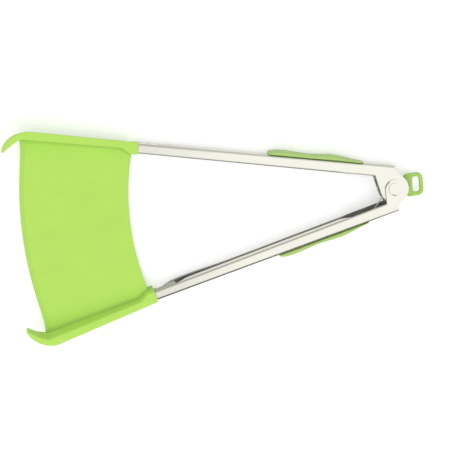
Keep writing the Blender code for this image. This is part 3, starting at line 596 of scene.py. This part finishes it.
def arm_skin(side):
    """Outer skin of an arm: points and quads of a folded channel that ends in two ears.

    The section at each place along is a lip that hangs from the upper flange's rolled edge, the
    flange, a quarter circle, the back, a quarter circle and the lower flange. The lip grows and
    fades as smooth steps, and the lower flange's free edge waves near the jaw as two bell curves.
    The ears go on from the flanges between the two ear edges.
    """
    inner, outer = ear_edges(side)
    turn = EAR_TURN[side]
    along = stations((STEEL_END, ARM_FINE_START, turn, BASE_END), ARM_ROWS)[:, None]
    inset = EAR_INSET[side] * smoothstep((EAR_STEP_START - along) / (EAR_STEP_START - EAR_STEP_END))
    low, high = CHANNEL_LOW + inset, CHANNEL_LOW + CHANNEL_WIDTH - inset
    flange = np.linspace(0, 1, FLANGE_COLUMNS)[None, :]
    bend = np.linspace(0, math.pi / 2, BEND_COLUMNS)[None, 1:]
    back = flange[:, 1:]
    hem = np.linspace(0, math.pi / 2, HEM_COLUMNS)[None, :-1]
    base = arm_out(along)
    start = base - CHANNEL_BEND
    grown = smoothstep((along - HEM_END) / HEM_FADE)
    roll = blend(LEAST_HEM_RADIUS, HEM_RADIUS, grown)
    lip = LEAST_LIP + LIP_DEPTH * grown * smoothstep((TANG_WEDGE_END - along) / LIP_FADE)
    edge = inner(along)
    cut_edge = edge + low_cut(along)
    hem_in, hem_drop = roll - roll * np.cos(hem), roll - roll * np.sin(hem)
    lip_drop = roll + lip * np.array([[1.0, 0.5]])
    flange_out = blend(edge + roll, start, flange)
    low_flange_out = blend(cut_edge + roll, start, flange)
    level = np.ones_like(flange)
    out = np.concatenate((edge + 0 * lip_drop, edge + hem_in, flange_out,
                          start + CHANNEL_BEND * np.sin(bend), base * np.ones_like(back),
                          start + CHANNEL_BEND * np.cos(bend), low_flange_out[:, -2::-1],
                          cut_edge + hem_in[:, ::-1]), axis=1)
    top, bottom = high - CHANNEL_BEND, low + CHANNEL_BEND
    z = np.concatenate((high - lip_drop, high - hem_drop, high * level,
                        top + CHANNEL_BEND * np.cos(bend), blend(top, bottom, back),
                        bottom - CHANNEL_BEND * np.sin(bend), low * level[:, :-1],
                        low + hem_drop[:, ::-1]), axis=1)
    points = [opened(side, along, out, z)]
    # Surface map that places the steel's painted shade at free edges and folds
    across = np.clip((out - edge) / EDGE_MAP_WIDTH, 0.0, 1.0)
    across[:, :lip_drop.shape[1]] = 1.0
    last = hem.shape[1] + flange.shape[1]
    first = lip_drop.shape[1] + last
    turned = bend / (math.pi / 2)
    folds = np.concatenate((FOLD_MAP_START + turned, np.ones_like(back),
                            FOLD_MAP_START + 1 - turned), axis=1)
    across[:, first:first + folds.shape[1]] = folds
    maps = [np.stack((across, along * np.ones_like(out)), axis=-1)]
    index = numbered(out)
    quads = [quads_of(index)]

    ear = blend(BASE_END, -EAR_TIP_SHARE * EAR_RADIUS[side], end_spaced(EAR_ROWS)[1:, None])
    made = out.size
    for height, rim, way in ((high[-1, 0], index[-1, :first], 1),
                             (low[-1, 0], index[-1, ::-1][:last], -1)):
        ear_out = blend(inner(ear), outer(ear), np.linspace(0, 1, len(rim))[None, :])
        points.append(opened(side, ear, ear_out, height))
        maps.append(np.stack((np.ones_like(ear_out), np.zeros_like(ear_out)), axis=-1))
        quads.append(quads_of(np.vstack((rim, numbered(ear_out, made))))[:, ::way])
        made += ear_out.size
    points = np.vstack([part.reshape(-1, 3) for part in points])
    maps = np.vstack([part.reshape(-1, 2) for part in maps])
    # The two arms are mirror images, so one has its faces turned round
    return points, np.vstack(quads)[:, ::-SIDES[side]], maps


def tang_shell(side):
    """The moulded tang in the channel's end: a flat-sided bar with a wedge end."""
    along = np.concatenate(((TANG_TIP,), np.linspace(TANG_WEDGE_END, TANG_END, TANG_ROWS)))
    outer = arm_out(along) - STEEL - TOUCH_GAP
    inner = arm_in(along) + TANG_RECESS + np.maximum(low_cut(along), 0)
    inner[0] = outer[0] - TANG_TIP_THICKNESS
    low = CHANNEL_LOW + STEEL + TOUCH_GAP
    high = low + CHANNEL_WIDTH - 2 * (STEEL + TOUCH_GAP)
    corners = np.stack([opened(side, along, out, z) for out, z in
                        ((outer, high), (outer, low), (inner, low), (inner, high))], axis=1)
    return loft(rounded(corners, TANG_ROUND, steps=4))


def rivet_shell(side, share):
    """A rivet's domed head on the arm's back, a flattened quarter circle spun about its axis."""
    along = blend(COLLAR_START, TANG_WEDGE_END, share)
    base = opened(side, along, arm_out(along), JAW_DEPTH / 2)
    angle = np.linspace(0, RIVET_DOME_ANGLE, DOME_ROWS)
    profile = np.stack((RIVET_HEAD_RADIUS * np.cos(angle), RIVET_DOME * np.sin(angle)), axis=-1)
    profile = np.vstack(((RIVET_HEAD_RADIUS, -RIVET_SINK), profile))
    return spun(profile, opened(side, 0.0, 1.0, 0.0), UP, base)


def pivot_shell():
    """The pivot pin: a shank between two heads whose edges are quarter circles."""
    thick = CHANNEL_LOW - SEAT_GAP
    angle = np.linspace(0, math.pi / 2, PIVOT_EDGE_ROWS)
    head = np.stack((np.sin(angle) - 1, 1 - np.cos(angle)), axis=-1)
    head = head * PIVOT_HEAD_ROUND + (PIVOT_HEAD_RADIUS, 0)
    low_head = np.vstack(((PIVOT_HEAD_RADIUS * PIVOT_FLAT_SHARE, 0), head,
                          (PIVOT_HEAD_RADIUS, thick), (PIVOT_RADIUS, thick)))
    profile = np.vstack((low_head, low_head[::-1] * (1, -1) + (0, JAW_DEPTH)))
    return spun(profile, UP, (1.0, 0.0, 0.0), (0.0, 0.0, 0.0), PIVOT_COLUMNS)


def swept(path, radius):
    """Closed round bar: a circle carried along a path of points, square to the path."""
    ahead = np.gradient(path, axis=0)
    aside = unit(np.cross(ahead, UP))
    above = unit(np.cross(aside, ahead))
    turn = np.linspace(0, 2 * math.pi, WIRE_COLUMNS, endpoint=False)[None, :, None]
    circle = aside[:, None] * np.cos(turn) + above[:, None] * np.sin(turn)
    return loft(path[:, None] + radius * circle)


def spring_shells():
    """The spring's coil and legs with their bodies: a helix about the pivot, straight tangents.

    The helix rises evenly with its angle. Each leg takes the first part of the helix with it, so
    that the bar stays whole while the leg turns about the pivot and winds the coil up.
    """
    reach = arm_out(SPRING_LEG_END) - STEEL - SEAT_GAP - SPRING_WIRE / 2
    enter = opened("b", SPRING_LEG_END, reach, 0.0)
    leave = opened("a", SPRING_LEG_END, reach, 0.0)
    first, last = touch_angle(enter, SPRING_COIL, 1), touch_angle(leave, SPRING_COIL, -1)
    while last < first:
        last += 2 * math.pi
    last += 2 * math.pi * SPRING_TURNS

    def helix(begin, end, count):
        angle = np.linspace(begin, end, count)
        rise = (angle - first) / (last - first)
        return np.stack((SPRING_COIL * np.cos(angle), SPRING_COIL * np.sin(angle),
                         blend(SPRING_LOW, SPRING_HIGH, rise)), axis=-1)

    def leg(outer, height, begin, end):
        bend = helix(begin, end, LEG_BEND_ROWS)
        tip = np.array((outer[0], outer[1], height))
        straight = blend(tip, bend[0], np.linspace(0, 1, LEG_ROWS)[:-1, None])
        return swept(np.vstack((straight, bend)), SPRING_LEG_SWELL * SPRING_WIRE / 2)

    coil = helix(first + OPEN_HALF_ANGLE, last - OPEN_HALF_ANGLE, COIL_ROWS)
    return {"coil": ("hinge_core", swept(coil, SPRING_WIRE / 2)),
            "leg_b": ("arm_b", leg(enter, SPRING_LOW, first, first + SPRING_LAP)),
            "leg_a": ("arm_a", leg(leave, SPRING_HIGH, last, last - SPRING_LAP))}


def box_line(low, high, half_width, radius, steps=12):
    """A rectangle in X and Y with round corners, as an array of points."""
    quarter = np.linspace(0, math.pi / 2, steps)
    angle = np.concatenate([quarter + corner * math.pi / 2 for corner in range(4)])
    x = np.repeat((high - radius, low + radius, low + radius, high - radius), steps)
    y = np.repeat((1, 1, -1, -1), steps) * (half_width - radius)
    return np.stack((x + radius * np.cos(angle), y + radius * np.sin(angle)), axis=-1)


def ring_mesh():
    """The pull ring: a rounded section carried round between the hole's line and the outer line."""
    outer = box_line(RING_START, TAIL_REACH, RING_HALF_WIDTH, RING_ROUND)
    hole_end = TAIL_REACH - RING_RIM
    inner = box_line(hole_end - RING_HOLE_LENGTH, hole_end, RING_HALF_WIDTH - RING_RIM,
                     RING_ROUND / 2)
    corners = np.stack([np.column_stack((line, np.full(len(line), z))) for line, z in
                        ((outer, RING_HIGH), (outer, RING_LOW), (inner, RING_LOW),
                         (inner, RING_HIGH))], axis=1)
    rings = rounded(corners, RING_EDGE_ROUND, steps=5)
    return rings.reshape(-1, 3), quads_of(np.pad(numbered(rings), (0, 1), mode="wrap")), NO_FANS


def button_shell(side, share):
    """A grip's button: a round stem through the steel with a chamfered head inside the channel."""
    along = GRIP_START + GRIP_LENGTH * share
    base = opened(side, along, arm_out(along), JAW_DEPTH / 2)
    head = STEEL + TOUCH_GAP
    chamfer = BUTTON_HEAD_THICKNESS / 2
    profile = ((BUTTON_RADIUS, -SEAT_GAP), (BUTTON_RADIUS, head), (BUTTON_HEAD_RADIUS, head),
               (BUTTON_HEAD_RADIUS, head + chamfer),
               (BUTTON_HEAD_RADIUS - chamfer, head + 2 * chamfer))
    return spun(profile, opened(side, 0.0, -1.0, 0.0), UP, base)


def flat_object(name, points, faces, finish):
    """A flat-sided object of the stage."""
    mesh = bpy.data.meshes.new(name)
    mesh.from_pydata(points, [], faces)
    mesh.materials.append(finish)
    return added(name, mesh)


def add_node(tree, kind, values=None, **settings):
    """A new shader node with its settings, and with its sockets set or linked."""
    node = tree.nodes.new(kind)
    for setting, value in settings.items():
        setattr(node, setting, value)
    for socket, value in (values or {}).items():
        if isinstance(value, bpy.types.NodeSocket):
            tree.links.new(value, node.inputs[socket])
        else:
            node.inputs[socket].default_value = value
    return node


def math_node(tree, operation, first, second):
    """The result of one operation on two values or sockets."""
    return add_node(tree, "ShaderNodeMath", {0: first, 1: second}, operation=operation).outputs[0]


def seen_share(tree, in_gloss):
    """1 for rays from the camera or through a body, in_gloss for rays off gloss, else 0."""
    rays = add_node(tree, "ShaderNodeLightPath").outputs
    share = math_node(tree, "MULTIPLY", rays["Is Glossy Ray"], in_gloss)
    share = math_node(tree, "MAXIMUM", rays["Is Camera Ray"], share)
    return math_node(tree, "MAXIMUM", share, rays["Is Transmission Ray"])


class Nodes:
    """Adds shader nodes to a new material, each linked as it is made."""

    def __init__(self, name, **sockets):
        self.material = bpy.data.materials.new(name)
        self.material.use_nodes = True
        self.tree = self.material.node_tree
        self.shader = self.tree.nodes["Principled BSDF"]
        for socket, value in sockets.items():
            self.shader.inputs[socket.replace("_", " ")].default_value = value

    def add(self, kind, values=None, **settings):
        return add_node(self.tree, kind, values, **settings)

    def link(self, output, socket):
        self.tree.links.new(output, self.shader.inputs[socket])

    def object_coordinates(self, turn=0.0, stretch=(1.0, 1.0, 1.0)):
        place = self.add("ShaderNodeTexCoord").outputs["Object"]
        turned = self.add("ShaderNodeMapping", {"Vector": place, "Rotation": (0.0, 0.0, turn)})
        stretched = self.add("ShaderNodeMapping", {"Vector": turned.outputs[0], "Scale": stretch})
        return stretched.outputs[0]

    def noise(self, place, scale, detail=2.0, roughness=0.5):
        return self.add("ShaderNodeTexNoise", {"Vector": place, "Scale": scale, "Detail": detail,
                                               "Roughness": roughness}).outputs["Fac"]

    def between(self, factor, low, high):
        """A noise's usual range mapped to the range from low to high."""
        values = {0: factor, 1: NOISE_LOW, 2: NOISE_HIGH, 3: low, 4: high}
        return self.add("ShaderNodeMapRange", values).outputs[0]

    def tint(self, factor, first, second):
        node = self.add("ShaderNodeMix", {"Factor": factor}, data_type="RGBA")
        node.inputs[6].default_value = (*first, 1.0)
        node.inputs[7].default_value = (*second, 1.0)
        return node.outputs[2]

    def shaded(self, tone, layers):
        """Painted shade: a colour darkened along the surface map, once for each layer."""
        surface = self.add("ShaderNodeUVMap", uv_map="surface").outputs[0]
        surface = self.add("ShaderNodeSeparateXYZ", {0: surface}).outputs
        for axis, start, full, share in layers:
            amount = self.add("ShaderNodeMapRange", {0: surface[axis], 1: start, 2: full})
            layer = self.add("ShaderNodeMix", {"Factor": amount.outputs[0],
                                               7: (share, share, share, 1.0)},
                             data_type="RGBA", blend_type="MULTIPLY")
            self.tree.links.new(tone, layer.inputs[6])
            tone = layer.outputs[2]
        return tone

    def bump(self, height, strength, distance):
        node = self.add("ShaderNodeBump", {"Height": height, "Strength": strength,
                                           "Distance": distance})
        self.link(node.outputs[0], "Normal")


def shade(colour, share):
    """A colour made lighter or darker by a share."""
    return tuple(min(1.0, channel * share) for channel in colour)


def silicone_finish(name, colour, web=False):
    """Matt moulded silicone: soft light through it, faint mottling, a fine skin and a dust sheen.

    The web's finish has painted shade: a little darker on its front lip, along its free edges and
    beside each rim.
    """
    made = Nodes(name, Roughness=0.55, Subsurface_Weight=0.18, Subsurface_Scale=0.004,
                 Sheen_Weight=0.08, Sheen_Roughness=0.4, IOR=1.41)
    made.shader.inputs["Subsurface Radius"].default_value = (0.6, 1.0, 0.25)
    place = made.object_coordinates()
    cloud = made.noise(place, scale=60.0)
    tone = made.tint(made.between(cloud, 0.0, 1.0), shade(colour, 0.985), shade(colour, 1.015))
    if web:
        # Painted shade on the web's lip, free edges and rim corners
        tone = made.shaded(tone, WEB_PAINTED_SHADES)
    made.link(tone, "Base Color")
    made.link(made.between(made.noise(place, scale=900.0), 0.5, 0.62), "Roughness")
    made.bump(made.noise(place, scale=2600.0, detail=3.0), strength=0.12, distance=0.0002)
    return made.material


def steel_finish(name, colour, turn, painted_shade=False, metallic=1.0):
    """Brushed stainless: grain along the arm in roughness and bump, and faint wear marks.

    The arms' finish has painted shade along its free edges and where its folds turn to the back,
    and it is darker towards the jaws.
    """
    made = Nodes(name, Metallic=metallic, Roughness=0.3)
    grain = made.noise(made.object_coordinates(turn, stretch=(1.0, 40.0, 40.0)), scale=90.0,
                       detail=3.0, roughness=0.6)
    marks = made.noise(made.object_coordinates(turn), scale=35.0, detail=4.0)
    tone = made.tint(made.between(grain, 0.0, 1.0), shade(colour, 0.95), shade(colour, 1.03))
    if painted_shade:
        # Painted shade along the free edges and folds, and a darker tone towards the jaws
        tone = made.shaded(tone, STEEL_SHADES)
    made.link(tone, "Base Color")
    made.link(math_node(made.tree, "ADD", made.between(grain, 0.2, 0.32),
                        made.between(marks, -0.03, 0.05)), "Roughness")
    made.bump(grain, strength=0.1, distance=0.0001)
    return made.material


def nylon_finish(name, colour):
    """Moulded nylon: a slight gloss with a fine, even texture."""
    made = Nodes(name, Roughness=0.42, IOR=1.53, Subsurface_Weight=0.06, Subsurface_Scale=0.002)
    place = made.object_coordinates()
    cloud = made.noise(place, scale=80.0)
    tone = made.tint(made.between(cloud, 0.0, 1.0), shade(colour, 0.95), shade(colour, 1.04))
    made.link(tone, "Base Color")
    made.link(made.between(made.noise(place, scale=1200.0), 0.36, 0.5), "Roughness")
    made.bump(made.noise(place, scale=3000.0), strength=0.15, distance=0.00015)
    return made.material


class TongsSizes(bpy.types.PropertyGroup):
    """Sizes of the soft pieces."""

    edge_round: bpy.props.FloatProperty(
        name="Jaw edge", description="Radius of the jaw covers' edges", default=0.0009, min=0.0,
        unit="LENGTH", precision=4)
    web_thickness: bpy.props.FloatProperty(
        name="Web thickness", description="Thickness of the web between the jaws", default=0.0015,
        min=0.0005, unit="LENGTH", precision=4)
    web_sag: bpy.props.FloatProperty(
        name="Web sag", description="How far the middle of the web hangs below its edges",
        default=0.0025, min=0.0, unit="LENGTH", precision=4)
    web_fillet: bpy.props.FloatProperty(
        name="Web fillet", description="Size of the fillet where the web meets a rim",
        default=0.001, min=0.0, unit="LENGTH", precision=4)
    web_corner: bpy.props.FloatProperty(
        name="Web corner", description="How far the web's front corners run on along the hooks",
        default=0.003, min=0.0, unit="LENGTH", precision=4)
    grip_thickness: bpy.props.FloatProperty(
        name="Grip thickness", description="Greatest thickness of a grip pad", default=0.0035,
        min=0.001, unit="LENGTH", precision=4)
    grip_saddle: bpy.props.FloatProperty(
        name="Grip saddle", description="Depth of the hollow in a grip pad", default=0.0011,
        min=0.0, unit="LENGTH", precision=4)


class TongsColours(bpy.types.PropertyGroup):
    """Colours of the finishes."""

    silicone: bpy.props.FloatVectorProperty(
        name="Silicone", description="Colour of the jaws and the web", subtype="COLOR", size=3,
        default=(0.505, 0.81, 0.132), min=0.0, max=1.0)
    grip: bpy.props.FloatVectorProperty(
        name="Grip", description="Colour of the grip pads, duller than the jaws", subtype="COLOR",
        size=3, default=(0.46, 0.66, 0.21), min=0.0, max=1.0)
    nylon: bpy.props.FloatVectorProperty(
        name="Nylon", description="Colour of the pull ring", subtype="COLOR", size=3,
        default=(0.40, 0.66, 0.12), min=0.0, max=1.0)
    steel: bpy.props.FloatVectorProperty(
        name="Steel", description="Colour of the arms and the pins", subtype="COLOR", size=3,
        default=(0.94, 0.93, 0.83), min=0.0, max=1.0)
    spring: bpy.props.FloatVectorProperty(
        name="Spring", description="Colour of the spring wire", subtype="COLOR", size=3,
        default=(0.5, 0.5, 0.5), min=0.0, max=1.0)
    # The channel colour is much darker than the outer steel: raw steel, darkened further as painted
    # shade inside the arms
    channel: bpy.props.FloatVectorProperty(
        name="Channel", description="Colour of the raw steel inside the arms", subtype="COLOR",
        size=3, default=(0.45, 0.45, 0.43), min=0.0, max=1.0)
    tang: bpy.props.FloatVectorProperty(
        name="Tang", description="Colour of the moulded tangs in the arms' ends", subtype="COLOR",
        size=3, default=(0.50, 0.53, 0.42), min=0.0, max=1.0)
    bush: bpy.props.FloatVectorProperty(
        name="Bush", description="Colour of the spring's bush", subtype="COLOR", size=3,
        default=(0.72, 0.72, 0.68), min=0.0, max=1.0)


class TONGS_OT_jaws(bpy.types.Operator):
    """Make both jaw covers"""

    bl_idname = "tongs.jaws"
    bl_label = "Jaw covers"

    def execute(self, context):
        sizes = context.scene.tongs_sizes
        finish = silicone_finish("jaw_silicone", context.scene.tongs_colours.silicone)
        for side in SIDES:
            cover = make_piece(f"jaw_silicone_{side}", [jaw_shell(side, sizes.edge_round)], finish,
                               f"arm_{side}", (f"jaw_cover_{side}",))
        return {"FINISHED"}


class TONGS_OT_web(bpy.types.Operator):
    """Make both halves of the web"""

    bl_idname = "tongs.web"
    bl_label = "Web"

    def execute(self, context):
        sizes = context.scene.tongs_sizes
        finish = silicone_finish("web_silicone", context.scene.tongs_colours.silicone, web=True)
        for side, sign in SIDES.items():
            shell, coordinates = web_shell(side, sizes)
            half = make_piece(f"web_half_{side}", [shell], finish, None, ("web",),
                              coordinates=coordinates, crease=50)
            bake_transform(half)
        return {"FINISHED"}


class TONGS_OT_grips(bpy.types.Operator):
    """Make both grip pads with their buttons"""

    bl_idname = "tongs.grips"
    bl_label = "Grips"

    def execute(self, context):
        sizes = context.scene.tongs_sizes
        finish = silicone_finish("grip_silicone", context.scene.tongs_colours.grip)
        for side in SIDES:
            shells = [grip_shell(side, sizes)]
            shells += [button_shell(side, share) for share in BUTTON_PLACE_SHARES]
            pad = make_piece(f"grip_pad_{side}", shells, finish, f"arm_{side}",
                             (f"grip_{side}",))
        return {"FINISHED"}


class TONGS_OT_arms(bpy.types.Operator):
    """Make both steel arms, with their rivets and the moulded tangs"""

    bl_idname = "tongs.arms"
    bl_label = "Arms"

    def execute(self, context):
        colours = context.scene.tongs_colours
        tang = nylon_finish("tang_nylon", colours.tang)
        # The tang's wedge end is painted dark as a shadow
        shadow = nylon_finish("tang_end_painted_shadow", shade(colours.tang, TANG_END_SHADE))
        for side, sign in SIDES.items():
            turn = sign * OPEN_HALF_ANGLE
            steel = steel_finish(f"brushed_steel_{side}", colours.steel, turn)
            # The arms' outer finish carries painted shade at free edges and folds
            painted_shade = steel_finish(f"painted_shade_steel_{side}", colours.steel, turn, painted_shade=True)
            # Inside the arms: raw steel, made darker as painted shade in the channel
            inside = steel_finish(f"painted_shade_raw_steel_{side}", colours.channel, turn,
                                  metallic=RAW_STEEL_METALLIC)
            points, quads, maps = arm_skin(side)
            arm = make_piece(f"steel_arm_{side}", [(points, quads, NO_FANS)], painted_shade,
                             f"arm_{side}", (f"arm_{side}",), coordinates=maps, closed=False)
            arm.data.materials.append(inside)
            fold = arm.modifiers.new("thickness", "SOLIDIFY")
            fold.thickness = STEEL
            fold.offset = -1.0
            fold.use_even_offset = True
            fold.material_offset = 1
            edge = arm.modifiers.new("edges", "BEVEL")
            edge.width = ARM_EDGE_BEVEL
            edge.segments = 2
            edge.limit_method = "ANGLE"
            edge.angle_limit = math.radians(50)
            edge.harden_normals = True
            for number, share in enumerate(RIVET_PLACE_SHARES, 1):
                head = make_piece(f"rivet_head_{side}_{number}", [rivet_shell(side, share)], steel,
                                  f"arm_{side}", (f"tang_rivet_{side}_{number}",))
            core = make_piece(f"tang_{side}", [tang_shell(side)], tang, f"arm_{side}",
                              (f"jaw_core_{side}",))
            # Faces of the wedge end take the dark finish, a painted shadow
            core.data.materials.append(shadow)
            middle = np.empty(len(core.data.polygons) * 3, dtype=np.float32)
            core.data.polygons.foreach_get("center", middle)
            wedge = middle.reshape(-1, 3) @ opened(side, 1.0, 0.0, 0.0) < TANG_WEDGE_END
            core.data.polygons.foreach_set("material_index", wedge.astype(np.int32))
        return {"FINISHED"}


class TONGS_OT_hinge(bpy.types.Operator):
    """Make the pivot, the spring and the pull ring, and finish the lock's other pieces"""

    bl_idname = "tongs.hinge"
    bl_label = "Hinge and lock"

    def execute(self, context):
        colours = context.scene.tongs_colours
        pins = steel_finish("pin_steel", colours.steel, 0.0)
        pivot = make_piece("pivot", [pivot_shell()], pins, "hinge_core", ("pivot_pin",))
        wire = steel_finish("spring_wire", colours.spring, 0.0)
        for name, (body, shell) in spring_shells().items():
            piece = make_piece(f"spring_{name}", [shell], wire, body, ("spring",))
        ring = make_piece("ring", [ring_mesh()], nylon_finish("green_nylon_moulded", colours.nylon),
                          "lock", ("pull_ring",))
        finishes = {"lock_slide": pins, "ring_pin": pins,
                    "spring_bush": nylon_finish("pale_nylon_moulded", colours.bush)}
        for name, finish in finishes.items():
            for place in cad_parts[name].material_slots:
                place.material = finish
        return {"FINISHED"}


class TONGS_OT_stage(bpy.types.Operator):
    """Make the floor, the light, a card that only reflections show, and the camera"""

    bl_idname = "tongs.stage"
    bl_label = "Stage"

    def execute(self, context):
        scene = context.scene
        made = Nodes("pale_floor", Roughness=0.9, Emission_Color=(1.0, 1.0, 1.0, 1.0))
        cloud = made.noise(made.object_coordinates(), scale=4.0)
        made.link(made.tint(cloud, *FLOOR_TONES), "Base Color")
        seen = seen_share(made.tree, FLOOR_SHARE_IN_GLOSS)
        made.link(math_node(made.tree, "MULTIPLY", seen, FLOOR_LIFT), "Emission Strength")
        floor = flat_object("floor", FLOOR_CORNERS, ((0, 1, 2, 3),), made.material)

        world = bpy.data.worlds.new("studio")
        scene.world = world
        world.use_nodes = True
        tree = world.node_tree
        level = add_node(tree, "ShaderNodeMapRange",
                         {0: seen_share(tree, 1.0), 3: WORLD_LEVEL, 4: 1.0})
        background = tree.nodes["Background"].inputs
        background["Color"].default_value = (1.0, 1.0, 1.0, 1.0)
        tree.links.new(level.outputs[0], background["Strength"])

        for name, at, power in LAMPS:
            lamp = bpy.data.lights.new(name, "AREA")
            lamp.size = LAMP_SIZE
            lamp.energy = power
            holder = added(name, lamp)
            holder.location = at
            aim = Vector(LAMP_AIM) - Vector(at)
            holder.rotation_euler = aim.to_track_quat("-Z", "Y").to_euler()
            holder.visible_glossy = False

        grey = Nodes("grey_card", Roughness=1.0, Base_Color=CARD_TONE).material
        card = flat_object("card", CARD_CORNERS, CARD_FACES, grey)
        card.visible_camera = False
        card.visible_diffuse = False
        card.visible_shadow = False
        card.visible_transmission = False

        turn = (Matrix.Rotation(CAMERA_ROLL, 3, "Z") @ Matrix.Rotation(CAMERA_PITCH, 3, "X")
                @ Matrix.Rotation(CAMERA_YAW, 3, "Y")).transposed()
        place = turn @ Vector((-CAMERA_ASIDE, -CAMERA_BELOW, CAMERA_DISTANCE))
        place.z += CAMERA_AIM_HEIGHT
        camera = bpy.data.cameras.new("camera")
        camera.sensor_width = 36.0
        camera.lens = CAMERA_LENS
        camera.clip_end = 50.0
        scene.camera = added("camera", camera)
        scene.camera.matrix_world = Matrix.Translation(place) @ turn.to_4x4()
        scene.view_settings.view_transform = "Standard"
        return {"FINISHED"}


class TONGS_PT_panel(bpy.types.Panel):
    """Lists the pieces, sizes and colours"""

    bl_idname = "TONGS_PT_panel"
    bl_label = "Spatula tongs"
    bl_space_type = "VIEW_3D"
    bl_region_type = "UI"
    bl_category = "Tongs"

    def draw(self, context):
        layout = self.layout
        for group in (context.scene.tongs_sizes, context.scene.tongs_colours):
            for name in group.__annotations__:
                layout.prop(group, name)
        for operator in OPERATORS:
            layout.operator(operator.bl_idname)


OPERATORS = (TONGS_OT_stage, TONGS_OT_jaws, TONGS_OT_web, TONGS_OT_grips, TONGS_OT_arms,
             TONGS_OT_hinge)
CLASSES = (TongsSizes, TongsColours, *OPERATORS, TONGS_PT_panel)


def register():
    for item in CLASSES:
        bpy.utils.register_class(item)
    bpy.types.Scene.tongs_sizes = bpy.props.PointerProperty(type=TongsSizes)
    bpy.types.Scene.tongs_colours = bpy.props.PointerProperty(type=TongsColours)


def unregister():
    del bpy.types.Scene.tongs_colours
    del bpy.types.Scene.tongs_sizes
    for item in reversed(CLASSES):
        bpy.utils.unregister_class(item)


def main():
    """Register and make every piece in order."""
    register()
    bpy.ops.tongs.stage()
    bpy.ops.tongs.jaws()
    bpy.ops.tongs.web()
    bpy.ops.tongs.grips()
    bpy.ops.tongs.arms()
    bpy.ops.tongs.hinge()


if __name__ == "__main__":
    main()
